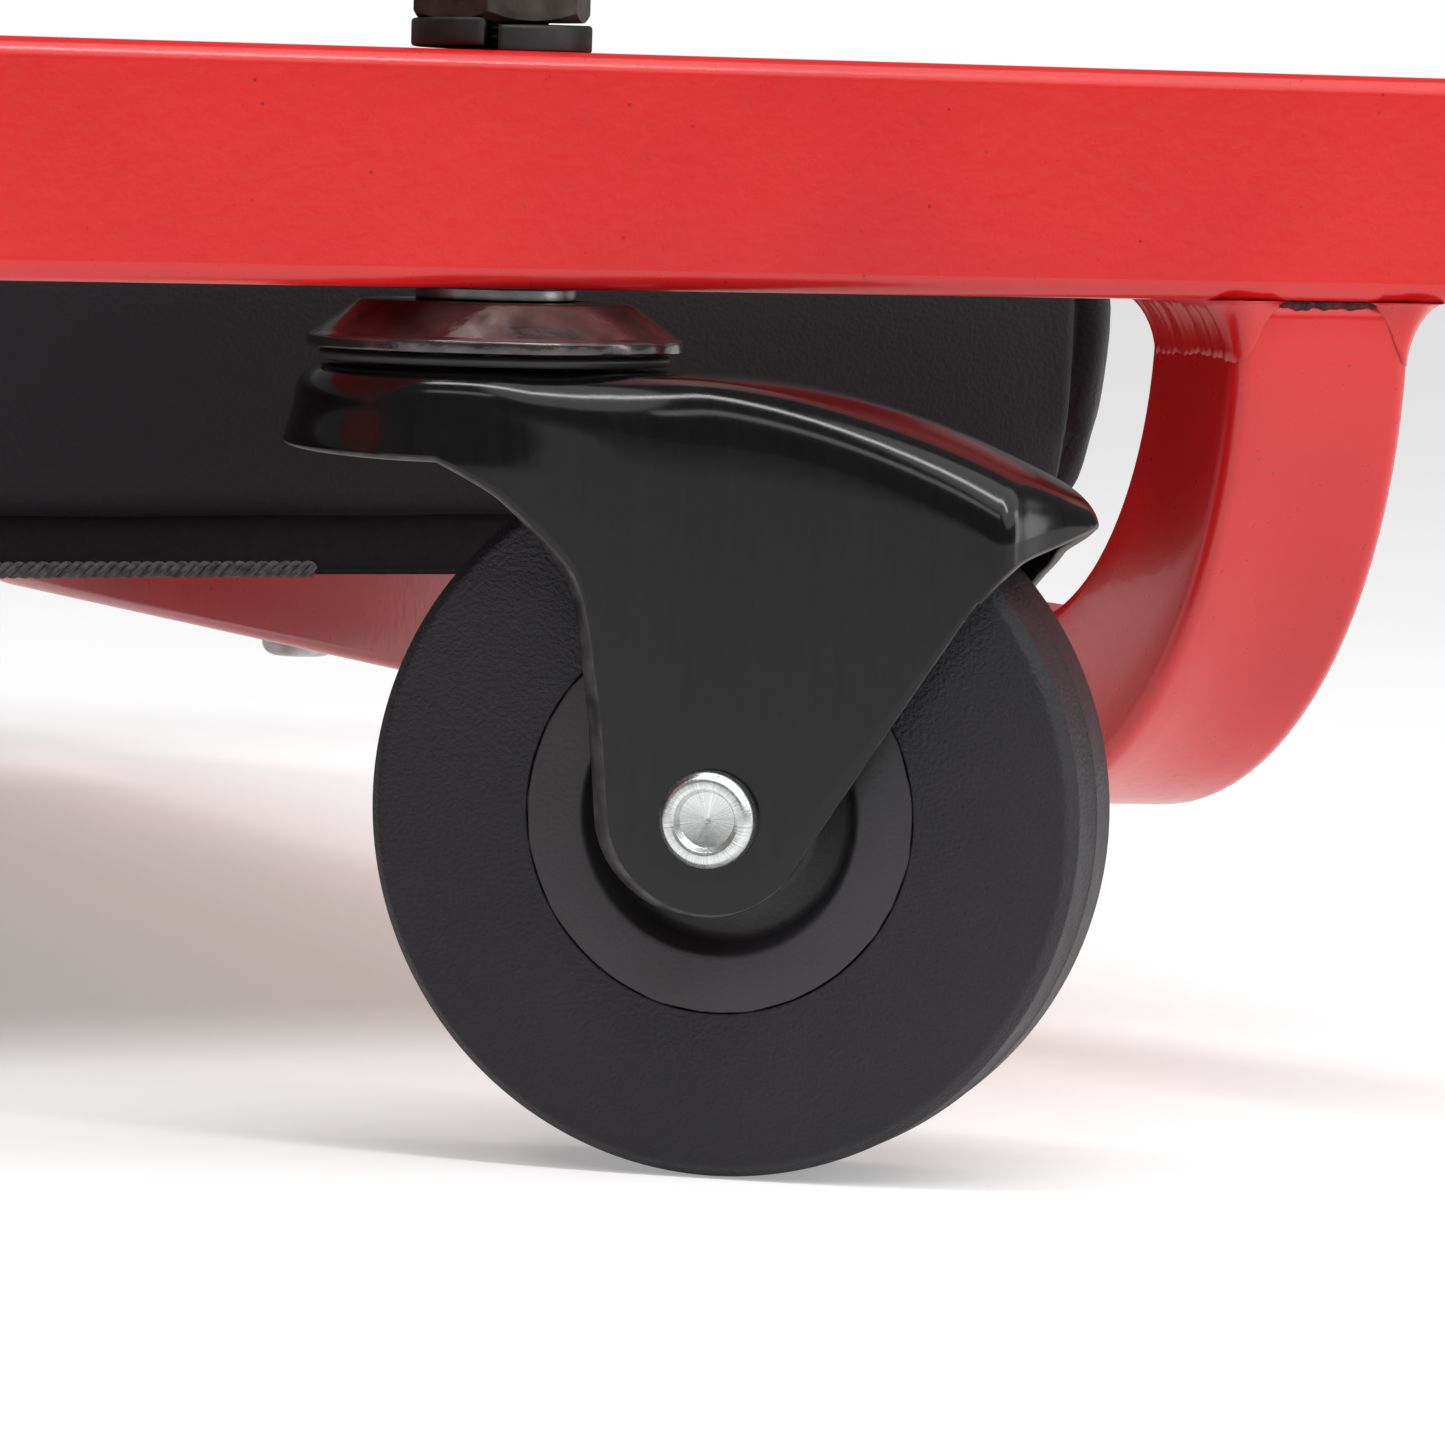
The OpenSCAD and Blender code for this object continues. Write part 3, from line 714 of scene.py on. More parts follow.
def cap_mesh():
    bore, top, rim = 5.6, -1.5, 20.1

    def hammered(r, a, z):
        if r <= 14:
            return 0.0
        return 0.07 * noise.noise(Vector((r * math.cos(a), r * math.sin(a), z * 2)) * 0.45)

    return revolve(
        "raceway_cap_pressing",
        [
            (bore, top, 0), (14.4, top, 1.6), (17.6, top - 2.2, 2.4), (19.3, top - 3.5, 0.9),
            (rim, top - 3.9, 0.5), (rim, top - 5.2, 0.3), (rim - 1.2, top - 5.2, 0.3),
            (rim - 1.3, top - 4.3, 0.5),
            (14.1, top - 1.2, 1.2), (bore, top - 1.2, 0),
        ],
        "dark_plated_steel", 144, 5, hammered,
    )


def cage_mesh():
    return revolve(
        "ball_cage_moulding",
        [(12.7, -8.1, 0.2), (18.6, -8.1, 0.35), (18.9, -7.3, 0.35), (18.3, -6.85, 0.3), (12.7, -6.85, 0.2)],
        "black_plastic", 96, 3,
    )


def spacer_mesh():
    return revolve(
        "spacer_washer_blank",
        [(5.6, -1.48, 0.1), (8.6, -1.48, 0.25), (8.6, -0.02, 0.25), (5.6, -0.02, 0.1)],
        "dark_zinc_steel", 72, 3,
    )


def lock_washer_mesh():
    """A square-section spring washer: one open coil that climbs by a little."""
    inner, outer, thick, climb, gap = 5.7, 9.65, 3.0, 0.75, 0.16
    steps, start = 90, math.radians(-118)
    base = 25.0
    points = []
    section = rounded_path(
        [(inner, 0, 0.25), (outer, 0, 0.45), (outer, thick, 0.45), (inner, thick, 0.25)], 3
    )
    for i in range(steps + 1):
        a = start + gap / 2 + (2 * math.pi - gap) * i / steps
        rise = base + climb * i / steps - 0.25
        for r, z in section:
            points.append(Vector((r * math.cos(a), r * math.sin(a), max(base, z + rise))) * MM)
    columns = len(section)
    faces = capped_faces(steps + 1, columns)
    mesh = make_mesh("lock_washer_coil", points, faces, ["black_spring_steel"])
    return weld_points(mesh, 0.000001)


def stem_mesh():
    """Threaded stem with a riveted head inside the crown."""
    radius, pitch, depth = 5.5, 1.75, 0.65
    top, head_r, head_low, head_high = 41.7, 9.0, -13.6, -11.2
    plain = [
        (0.001, head_low), (head_r - 1.5, head_low), (head_r, head_low + 1.0), (head_r, head_high),
        (radius - depth, head_high),
    ]
    threaded_from, turns = 24.0, 48
    levels = [threaded_from + (top - 0.9 - threaded_from) * k / 96 for k in range(97)]
    points = []
    columns = len(plain) + len(levels) + 3
    for i in range(turns):
        a = 2 * math.pi * i / turns
        ring = list(plain)
        for z in levels:
            phase = (z / pitch - a / (2 * math.pi)) % 1.0
            ring.append((radius - depth * abs(2 * phase - 1) ** 1.3, z))
        ring += [(radius - 0.5, top - 0.5), (radius - 1.3, top), (0.001, top)]
        points += [Vector((r * math.cos(a), r * math.sin(a), z)) * MM for r, z in ring]
    faces = grid_faces(turns, columns, wrap_rows=True)
    mesh = make_mesh("stem_thread", points, faces, ["black_oxide_steel"])
    return weld_points(mesh, 0.000005)


def build_casters():
    meshes = {
        "fork": (fork_mesh(), "caster_", "black_gloss_steel"),
        "tyre": (tyre_mesh(), "wheel_", "wheel_rubber"),
        "hub": (hub_mesh(), "wheel_", "hub_plastic"),
        "axle_rivet": (rivet_mesh(), "caster_", "bright_zinc"),
    }
    for caster in CASTERS:
        for part, (mesh, body, slot) in meshes.items():
            matrix = caster.matrix if part == "fork" else caster.wheel_matrix
            node = f"{part}_{caster.name}"
            place(node + "_finished", mesh, body + caster.name, slot, matrix, [node])
    fixed = {
        "raceway_caps": (cap_mesh(), "dark_plated_steel"),
        "ball_cages": (cage_mesh(), "black_plastic"),
        "spacer_washers": (spacer_mesh(), "dark_zinc_steel"),
        "lock_washers": (lock_washer_mesh(), "black_spring_steel"),
        "caster_stems": (stem_mesh(), "black_oxide_steel"),
    }
    for node, (mesh, slot) in fixed.items():
        for caster in CASTERS:
            matrix = Matrix.Translation(caster.kingpin)
            place(f"{node}_{caster.name}", mesh, "frame", slot, matrix, [node])


# ---------------------------------------------------------------- frame tubes and welds


TUBE_CORNER = 2.2


def tube_section(side, corner, steps=6, between=4):
    """A square section with round corners, as (across, up) points and their outward normals."""
    half, points = side / 2 - corner, []
    for k, (sx, sy) in enumerate([(1, 1), (-1, 1), (-1, -1), (1, -1)]):
        for i in range(steps + 1):
            a = math.radians(90 * k + 90 * i / steps)
            normal = Vector((math.cos(a), math.sin(a)))
            points.append((Vector((sx * half, sy * half)) + normal * corner, normal))
        start = points[-1][0]
        nx, ny = [(-1, 1), (-1, -1), (1, -1), (1, 1)][k]
        a = math.radians(90 * (k + 1))
        normal = Vector((math.cos(a), math.sin(a)))
        end = Vector((nx * half, ny * half)) + normal * corner
        for i in range(1, between + 1):
            points.append((start.lerp(end, i / (between + 1)), normal))
    return points


class CrossTube:
    """Sizes of one cross tube, in millimetres, read from its box."""

    def __init__(self, node):
        low, high = (Vector(corner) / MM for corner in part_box(node))
        stub = 2.0
        self.node = node
        self.name = node.removeprefix("cross_tube_")
        self.x = (low.x + high.x) / 2
        self.side = high.x - low.x
        self.end_y = high.y - self.side / 2
        self.low = low.z
        self.high = high.z
        self.bend = high.z - low.z - stub - self.side / 2

    def path(self):
        """Centre line points from the right-hand rail to the left, with the share of the bend done."""
        points, turns = [], 26
        centre_z = self.low + self.side / 2 + self.bend
        half_run = self.end_y - self.bend
        for k in range(turns + 1):
            a = math.pi / 2 * k / turns
            place = Vector((-half_run - self.bend * math.cos(a), centre_z - self.bend * math.sin(a)))
            points.append((place, a, math.sin(2 * a) if 0 < k < turns else 0.0))
        points.insert(0, (Vector((-self.end_y, self.high)), 0.0, 0.0))
        runs = 12
        middle = [
            (Vector((-half_run + 2 * half_run * k / runs, self.low + self.side / 2)), math.pi / 2, 0.0)
            for k in range(1, runs)
        ]
        mirrored = [(Vector((-p.x, p.y)), math.pi - a, share) for p, a, share in reversed(points)]
        return points + middle + mirrored


def cross_tube_mesh(tube):
    """Bent square tube: the outer wall of each bend is dished and its corners stand up as ridges."""
    dish, spread = 1.75, 0.35
    section = tube_section(tube.side, TUBE_CORNER)
    half = tube.side / 2
    points = []
    for place, angle, share in tube.path():
        # along the section: u is the tube's X, v points to the outside of the bend
        outward = Vector((-math.cos(angle), -math.sin(angle)))
        for p, _ in section:
            u, v = p.x, p.y
            across = 1 - (u / half) ** 2
            sink = dish * share * max(0.0, across) ** 1.3 * smooth_step((v + 2) / half)
            side_bulge = spread * share * (1 - (v / half) ** 2) if abs(u) > half - 2.3 else 0.0
            place_v = v - sink
            y = place.x + outward.x * place_v
            z = place.y + outward.y * place_v
            points.append(Vector((tube.x + u + math.copysign(side_bulge, u), y, z)) * MM)
    columns = len(section)
    rows = len(points) // columns
    faces = capped_faces(rows, columns)
    mesh = make_mesh(f"{tube.node}_tube", points, faces, ["red_powder_coat"])
    if signed_volume(mesh) < 0:
        mesh.flip_normals()
    return mesh


def weld_strip(tube, end, face):
    """One fillet weld: a concave flare on one face of the tube end that wraps both its corners."""
    reach, drop, wrap = 4.0, 6.6, 4.2
    half, corner = tube.side / 2, TUBE_CORNER
    seed = Vector((tube.x * 0.013, end * 3.1, face * 1.7))
    path = []
    straight = tube.side - 2 * corner
    length = straight + math.pi * corner + 2 * wrap
    steps = 64
    for k in range(steps + 1):
        s = -length / 2 + length * k / steps
        far = abs(s) - straight / 2
        sign = math.copysign(1, s)
        if far <= 0:
            p, n = Vector((half, s)), Vector((1, 0))
        elif far <= math.pi * corner / 2:
            a = far / corner
            n = Vector((math.cos(a), sign * math.sin(a)))
            p = Vector((half - corner, sign * (half - corner))) + n * corner
        else:
            n = Vector((0, sign))
            p = Vector((half - corner - (far - math.pi * corner / 2), sign * half))
        size = smooth_step((length / 2 - abs(s)) / (wrap + 1.5))
        out = reach * size * max(0.0, abs(n.x)) + min(1.35, reach * size) * (1 - abs(n.x))
        ripple = 1 + 0.07 * noise.noise(seed + Vector((s * 0.55, 0, 0))) + 0.025 * math.sin(s * 4.4)
        path.append((p, n, out * ripple + 0.06, drop * (0.35 + 0.65 * size) * size * ripple + 0.08))
    curve = 8
    points = []
    for p, n, out, down in path:
        for k in range(curve + 1):
            a = math.pi / 2 * k / curve
            d_out = out * (1 - math.sin(a)) ** 0.9
            d_down = down * (1 - math.cos(a)) ** 0.9
            q = p + n * (d_out + 0.02)
            across, along = tube.x + face * q.x, end * tube.end_y + q.y
            points.append(Vector((across, along, tube.high + 0.03 - d_down)) * MM)
        for inset, level in ((-0.6, down), (-0.6, -0.03)):
            q = p + n * inset
            points.append(Vector((tube.x + face * q.x, end * tube.end_y + q.y, tube.high - level)) * MM)
    columns = curve + 3
    faces = capped_faces(steps + 1, columns)
    return points, faces


def joined(parts, name, slots):
    """One mesh from several (points, faces, slot index) parts."""
    points, faces, picks = [], [], []
    for part_points, part_faces, pick in parts:
        base = len(points)
        points += part_points
        faces += [tuple(base + v for v in face) for face in part_faces]
        picks += [pick] * len(part_faces)
    mesh = make_mesh(name, points, faces, slots, picks)
    return weld_points(mesh, 0.0000005)


def painted_gap_shade_strip(tube, end):
    """The ragged unwelded line between the tube's outer face and the rail, as a thin dark slab on the tube
    face: painted shade for the crevice.
    """
    half_len, steps = 6.8, 36
    points = []
    for k in range(steps + 1):
        u = -half_len + 2 * half_len * k / steps
        fade = smooth_step((half_len - abs(u)) / 1.5)
        depth = (0.75 + 0.45 * noise.noise(Vector((u * 0.9, end * 4.0, tube.x)))) * (0.25 + 0.75 * fade)
        face = end * (tube.end_y + tube.side / 2)
        for out, z in ((0.09, 0.02), (0.09, -depth), (-0.3, -depth), (-0.3, 0.02)):
            points.append(Vector((tube.x + u, face + end * out, tube.high + z)) * MM)
    return points, capped_faces(steps + 1, 4)


def build_frame_tubes():
    for node in ("cross_tube_foot", "cross_tube_middle", "cross_tube_head"):
        tube = CrossTube(node)
        place(f"{node}_bent", cross_tube_mesh(tube), "frame", "red_powder_coat", None, [node])
        for end, side_name in ((-1, "right"), (1, "left")):
            strips = [(*weld_strip(tube, end, face), 0) for face in (-1, 1)]
            strips.append((*painted_gap_shade_strip(tube, end), 1))
            mesh = joined(strips, f"weld_{tube.name}_{side_name}", ["red_powder_coat", "weld_gap"])
            place(f"weld_{tube.name}_{side_name}", mesh, "frame", "red_powder_coat", None, ["weld_beads"])


# ---------------------------------------------------------------- pads


HEM_SETBACK = 2.3
SEAM_INSET = 3.8


def plan_ring(x0, x1, half_width, corner, spacing=5.0):
    """Points round a rectangle with round corners, evenly spaced."""
    ring = []
    corners = [
        (x1 - corner, half_width - corner, 0), (x0 + corner, half_width - corner, 90),
        (x0 + corner, corner - half_width, 180), (x1 - corner, corner - half_width, 270),
    ]
    arc_steps = 8
    for i, (cx, cy, turn) in enumerate(corners):
        for k in range(arc_steps + 1):
            a = math.radians(turn + 90 * k / arc_steps)
            ring.append(Vector((cx + corner * math.cos(a), cy + corner * math.sin(a))))
        nx, ny, nturn = corners[(i + 1) % 4]
        a = math.radians(nturn)
        end = Vector((nx + corner * math.cos(a), ny + corner * math.sin(a)))
        start = ring[-1]
        count = max(1, round((end - start).length / spacing))
        ring += [start.lerp(end, k / count) for k in range(1, count)]
    return ring


class Pad:
    """Sizes of one pad, in millimetres, read from the boxes of its cushion, board and backing."""

    def __init__(self, name):
        low, high = (Vector(corner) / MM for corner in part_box(f"{name}_cushion"))
        board_low, board_high = (Vector(corner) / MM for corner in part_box(f"{name}_board"))
        cloth_low, cloth_high = (Vector(corner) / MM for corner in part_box(f"{name}_backing"))
        self.name = name
        self.x0, self.x1, self.half = low.x, high.x, high.y
        self.fold, self.top = low.z, high.z
        self.board_low, self.board_high = board_low.z, board_high.z
        self.cloth = (cloth_low.x, cloth_high.x)
        self.cloth_low = cloth_low.z


def lofted(levels):
    """Closed mesh data from rings of equal length, bottom to top, with flat fans at both ends."""
    points = [p for ring in levels for p in ring]
    columns = len(levels[0])
    faces = grid_faces(len(levels), columns, wrap_columns=True)
    faces.append(tuple(reversed(range(columns))))
    faces.append(tuple((len(levels) - 1) * columns + k for k in range(columns)))
    return points, faces


def cushion_blank(pad):
    """The cushion before it swells: walls that lean in at the bottom, under a shallow crown."""
    grow, corner = 0.5, 5.0
    height = pad.top - pad.fold
    profile = [
        (0, 7.2), (0.02, 5.0), (0.06, 3.4), (0.12, 2.5), (0.3, 1.0), (0.58, 0.0), (0.72, 0.6),
        (0.82, 2.6), (0.9, 6.0), (0.955, 11.0), (0.985, 19.0), (1.0, 32.0),
    ]
    levels = []
    for share, inset in profile:
        reach = inset - grow
        ring = plan_ring(pad.x0 + reach, pad.x1 - reach, pad.half - reach, corner + inset * 0.6)
        levels.append([Vector((p.x, p.y, pad.fold + height * share * 0.97)) * MM for p in ring])
    count = min(len(level) for level in levels)
    levels = [resampled(level, count) for level in levels]
    return lofted(levels)


def resampled(ring, count):
    """The same closed ring with a given number of evenly spaced points."""
    lengths = [0.0]
    for i in range(len(ring)):
        lengths.append(lengths[-1] + (ring[(i + 1) % len(ring)] - ring[i]).length)
    total, result, i = lengths[-1], [], 0
    for k in range(count):
        s = total * k / count
        while lengths[i + 1] < s:
            i += 1
        span = lengths[i + 1] - lengths[i]
        share = (s - lengths[i]) / span if span else 0.0
        result.append(ring[i].lerp(ring[(i + 1) % len(ring)], share))
    return result


def apply_modifiers(piece):
    """Turns a piece's modifiers into its mesh."""
    depsgraph = bpy.context.evaluated_depsgraph_get()
    mesh = bpy.data.meshes.new_from_object(piece.evaluated_get(depsgraph))
    piece.modifiers.clear()
    old, piece.data = piece.data, mesh
    bpy.data.meshes.remove(old)
    return mesh


def swell(piece, rest_top, cap):
    """Cloth simulation with pressure, capped; it fades out below the top, where the sides stay put."""
    swollen_depth, sideways = 0.018, 0.25
    scene = bpy.context.scene
    start = [v.co.copy() for v in piece.data.vertices]
    group = piece.vertex_groups.new(name="held")
    group.add([i for i, co in enumerate(start) if co.z < rest_top], 1.0, "REPLACE")
    cloth = piece.modifiers.new("cloth", "CLOTH")
    settings = cloth.settings
    settings.use_pressure = True
    settings.uniform_pressure_force = 4.0
    settings.effector_weights.gravity = 0.0
    settings.vertex_group_mass = "held"
    settings.tension_stiffness = settings.compression_stiffness = 20.0
    settings.bending_stiffness = 2.0
    settings.quality = 6
    cloth.collision_settings.use_collision = False
    first, last = 1, 20
    cloth.point_cache.frame_start, cloth.point_cache.frame_end = first, last
    for step in range(first, last + 1):
        scene.frame_set(step)
    moved = bpy.data.meshes.new_from_object(piece.evaluated_get(bpy.context.evaluated_depsgraph_get()))
    piece.modifiers.clear()
    top = max(co.z for co in start)
    for vertex, before, after in zip(piece.data.vertices, start, moved.vertices):
        move = after.co - before
        if move.length > cap:
            move *= cap / move.length
        free = smooth_step((before.z - top + swollen_depth) / (0.7 * swollen_depth))
        vertex.co = before + Vector((sideways * move.x, sideways * move.y, move.z)) * free
    bpy.data.meshes.remove(moved)
    scene.frame_set(first)


def fit_to_size(pad, mesh):
    """Brings the outline back to size after remeshing; the outer end stands a little proud."""
    proud, side_proud = 3.0, 0.8
    low_end = pad.x0 - (proud if pad.name == "headrest" else 0.0)
    high_end = pad.x1 + (proud if pad.name == "body" else 0.0)
    xs = [vertex.co.x / MM for vertex in mesh.vertices]
    ys = [vertex.co.y / MM for vertex in mesh.vertices]
    stretch = (high_end - low_end) / (max(xs) - min(xs))
    widen = 2 * (pad.half + side_proud) / (max(ys) - min(ys))
    middle, start = (max(ys) + min(ys)) / 2, min(xs)
    for vertex, x, y in zip(mesh.vertices, xs, ys):
        vertex.co.x = (low_end + (x - start) * stretch) * MM
        vertex.co.y = (y - middle) * widen * MM


def refine_near(mesh, test):
    """Halves the edges whose middles pass the test, so that a narrow seam has points to stand on."""
    work = bmesh.new()
    work.from_mesh(mesh)
    edges = [e for e in work.edges if test((e.verts[0].co + e.verts[1].co) / 2)]
    bmesh.ops.subdivide_edges(work, edges=edges, cuts=1, use_grid_fill=True)
    bmesh.ops.triangulate(work, faces=[f for f in work.faces if len(f.verts) > 4])
    work.to_mesh(mesh)
    work.free()


def corner_seam(pad, co):
    """Distance in millimetres from the nearest upright corner seam, or None off the long sides."""
    p = co / MM
    if abs(p.y) < pad.half - 9 or p.z > pad.top - 10:
        return None
    return min(abs(p.x - pad.x0 - SEAM_INSET), abs(p.x - pad.x1 + SEAM_INSET))


def sew(pad, mesh):
    """Upright seams by the corners and a seam round the top edge, pressed into the cover."""
    seam_z = pad.top - 9.5
    corner_groove, edge_groove, spread = 2.4, 1.0, 1.2

    def edge_distance(co):
        p = co / MM
        inside = min(pad.half - abs(p.y), p.x - pad.x0, pad.x1 - p.x)
        return abs(p.z - seam_z) if inside < 12 else None

    def near(co):
        side, edge = corner_seam(pad, co), edge_distance(co)
        return (side is not None and side < 3.2) or (edge is not None and edge < 2.6)

    for _ in range(2):
        refine_near(mesh, near)
    mesh.update()
    normals = [v.normal.copy() for v in mesh.vertices]
    for vertex, normal in zip(mesh.vertices, normals):
        sink = 0.0
        corner, edge = corner_seam(pad, vertex.co), edge_distance(vertex.co)
        for distance, groove in ((corner, corner_groove), (edge, edge_groove)):
            if distance is not None and distance < 6:
                bead = 0.3 * math.exp(-(((distance - 2.6) / 1.1) ** 2))
                sink = max(sink, groove * math.exp(-((distance / spread) ** 2)) - bead, key=abs)
        wave = 0.35 * noise.noise(vertex.co / MM * 0.018) + 0.12 * noise.noise(vertex.co / MM * 0.07)
        lift = 1.0 if vertex.co.z / MM > pad.fold + 2 else 0.0
        vertex.co += normal * ((wave * lift - sink) * MM)


def turned_edge(pad):
    """The cover's edge, turned under the board: a lip over the board's side and a flat border."""
    thick, border, corner = 0.8, 24.0, 9.0
    low = pad.board_low - 0.75
    rows = [
        (4.7, pad.board_high + 0.2), (4.7, low + 1.3), (3.6, low + 0.75), (2.7, low + 0.5),
        (2.6, low + 0.1), (3.2, low), (border, low), (border, low + thick), (5.6, low + thick),
        (5.4, low + 1.3), (5.4, pad.board_high + 0.2),
    ]
    levels = []
    for inset, z in rows:
        turn = max(2.0, corner - inset * 0.2)
        ring = plan_ring(pad.x0 + inset, pad.x1 - inset, pad.half - inset, turn, 8.0)
        levels.append([Vector((p.x, p.y, z)) * MM for p in ring])
    count = len(levels[0])
    levels = [resampled(level, count) for level in levels]
    points = [p for level in levels for p in level]
    faces = grid_faces(len(levels), count, wrap_rows=True, wrap_columns=True)
    return points, faces


def cloth_edge(pad, x, side):
    """Where the cloth's long edge runs: (y, z), with the slow waves of a stapled hem."""
    wave = noise.noise(Vector((x * 0.011, side * 7.0, 2.0)))
    return side * (pad.half - HEM_SETBACK + 0.5 * wave), pad.cloth_low + 0.5 + 0.35 * wave


def backing_cloth(pad):
    """The woven cloth under the board, slightly wavy along its two stapled edges."""
    step, thick, low = 5.0, 0.7, pad.cloth_low + 0.12
    x0, x1 = pad.cloth
    along = max(2, round((x1 - x0) / step))
    across = round(2 * pad.half / step)
    points = []
    for layer in (0, 1):
        for i in range(along + 1):
            x = x0 + (x1 - x0) * i / along
            ends = {side: cloth_edge(pad, x, side) for side in (-1, 1)}
            for j in range(across + 1):
                v = -1 + 2 * j / across
                y_edge, z_edge = ends[1 if v > 0 else -1]
                y = abs(y_edge) * v
                hem = smooth_step((abs(v) - 0.965) / 0.035)
                sag = 0.1 * noise.noise(Vector((x * 0.02, y * 0.02, 5.0)))
                z = low + (z_edge - low) * hem + max(0.0, sag)
                points.append(Vector((x, y, z + thick * layer)) * MM)
    rows, columns = along + 1, across + 1
    base = rows * columns
    under = grid_faces(rows, columns)
    faces = under + [tuple(base + v for v in reversed(face)) for face in under]
    rim = [i * columns for i in range(rows)] + [(rows - 1) * columns + j for j in range(1, columns)]
    rim += [i * columns + columns - 1 for i in range(rows - 2, -1, -1)] + list(range(columns - 2, 0, -1))
    for k, a in enumerate(rim):
        b = rim[(k + 1) % len(rim)]
        faces.append((a, b, base + b, base + a))
    return points, faces


def rope(route, radius, sides=6):
    """A tube along a route of points in millimetres."""
    points = []
    for i, p in enumerate(route):
        ahead = route[min(i + 1, len(route) - 1)] - route[max(i - 1, 0)]
        u = ahead.cross(UP).normalized() if abs(ahead.normalized().z) < 0.9 else Vector((1, 0, 0))
        v = ahead.cross(u).normalized()
        for k in range(sides):
            a = 2 * math.pi * k / sides
            points.append((p + (u * math.cos(a) + v * math.sin(a)) * radius) * MM)
    return points, capped_faces(len(route), sides)


def selvage_braid(pad, side):
    """Three strands that cross over one another along the cloth's edge."""
    parts, pitch, swing, strand, strands = [], 4.2, 0.62, 0.42, 3
    x0, x1 = pad.cloth
    per_pitch = 9
    count = round((x1 - x0) / pitch * per_pitch)
    for n in range(strands):
        route = []
        for k in range(count + 1):
            turn = 2 * math.pi * (k / per_pitch + n / strands)
            x = x0 + (x1 - x0) * k / count
            y, z = cloth_edge(pad, x, side)
            route.append(Vector((x, y + side * 0.3 * math.cos(turn), z + 0.55 + swing * math.sin(turn))))
        parts.append((*rope(route, strand, 5), 0))
    return parts


def staple_row(pad):
    """Wire staples through the cloth and the turned edge into the board."""
    wire, width, spacing, inset = 0.35, 9.0, 62.0, 12.0
    z = pad.cloth_low - 0.02
    parts = []
    half = width / 2
    leg = [(half - 0.6, wire), (half, 0.5), (half, 1.2)]
    bent = [(-dx, dz) for dx, dz in reversed(leg)] + leg
    y = pad.half - inset
    x0, x1 = pad.cloth
    count = max(2, int((x1 - x0 - 20) / spacing))
    for side in (-1, 1):
        for k in range(count + 1):
            x = x0 + 10 + (x1 - x0 - 20) * k / count
            route = [Vector((x + dx, side * y, z + dz)) for dx, dz in bent]
            parts.append((*rope(route, wire, 6), 0))
    return parts


def build_pads():
    voxel, held_band, most_swell = 0.006, 1.0, 0.0045
    for name, body in (("body", "frame"), ("headrest", "headrest")):
        pad = Pad(name)
        points, faces = cushion_blank(pad)
        blank = make_mesh(f"{name}_cover", points, faces, ["black_vinyl"])
        cushion = place(f"{name}_cushion_cover", blank, body, "black_vinyl")
        remesh = cushion.modifiers.new("remesh", "REMESH")
        remesh.mode = "VOXEL"
        remesh.voxel_size = voxel
        apply_modifiers(cushion)
        swell(cushion, (pad.fold + held_band) * MM, most_swell)
        subdivision = cushion.modifiers.new("subdivision", "SUBSURF")
        subdivision.levels = subdivision.render_levels = 1
        mesh = apply_modifiers(cushion)
        fit_to_size(pad, mesh)
        soft = 3.0
        eased_from = pad.top + 2.5 - soft
        for vertex in mesh.vertices:
            z = vertex.co.z / MM
            if z < pad.fold + 0.4:
                vertex.co.z = pad.fold * MM
            elif z > eased_from:
                vertex.co.z = (eased_from + soft * math.tanh((z - eased_from) / soft)) * MM
        sew(pad, mesh)
        mesh.materials.clear()
        mesh.materials.append(MATERIALS["black_vinyl"])
        mesh.polygons.foreach_set("use_smooth", [True] * len(mesh.polygons))
        mesh.update()
        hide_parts(f"{name}_cushion")

        edge_points, edge_faces = turned_edge(pad)
        # the turned edge takes the darker vinyl, painted shade under the pad
        edge_mesh = make_mesh(f"{name}_turned_edge", edge_points, edge_faces, ["vinyl_hem"])
        weld_points(edge_mesh, 0.000001)
        place(f"{name}_cover_turned_edge", edge_mesh, body, "black_vinyl")

        cloth_points, cloth_faces = backing_cloth(pad)
        cloth_mesh = make_mesh(f"{name}_cloth", cloth_points, cloth_faces, ["woven_backing"])
        weld_points(cloth_mesh, 0.000001)
        cloth = place(f"{name}_backing_cloth", cloth_mesh, body, "woven_backing", None, [f"{name}_backing"])
        braid = joined(selvage_braid(pad, -1) + selvage_braid(pad, 1), f"{name}_braid", ["selvage"])
        hem = place(f"{name}_backing_selvage", braid, body, "woven_backing")
        staples = joined(staple_row(pad), f"{name}_wire", ["zinc_steel"])
        place(f"{name}_staples", staples, body, "zinc_steel")


# ---------------------------------------------------------------- camera, light and floor


def photo_camera():
    """The photograph's view, placed from the caster it shows."""
    turn, pitch, roll = math.radians(23.03), math.radians(4.59), math.radians(1.45)
    forward = Vector((math.sin(turn) * math.cos(pitch), math.cos(turn) * math.cos(pitch), -math.sin(pitch)))
    level = Vector((math.cos(turn), -math.sin(turn), 0))
    lift = level.cross(forward)
    right = level * math.cos(roll) + lift * math.sin(roll)
    up = lift * math.cos(roll) - level * math.sin(roll)
    camera = bpy.data.objects.new("camera", bpy.data.cameras.new("camera"))
    bpy.context.scene.collection.objects.link(camera)
    camera.data.sensor_width = 36.0
    camera.data.lens = 181.9
    camera.data.clip_start, camera.data.clip_end = 0.05, 60.0
    spot = PHOTO_CASTER.kingpin + Vector((-0.2821, -0.7284, 0.0166))
    rotation = Matrix((right, up, -forward)).transposed().to_4x4()
    camera.matrix_world = Matrix.Translation(spot) @ rotation
    bpy.context.scene.camera = camera


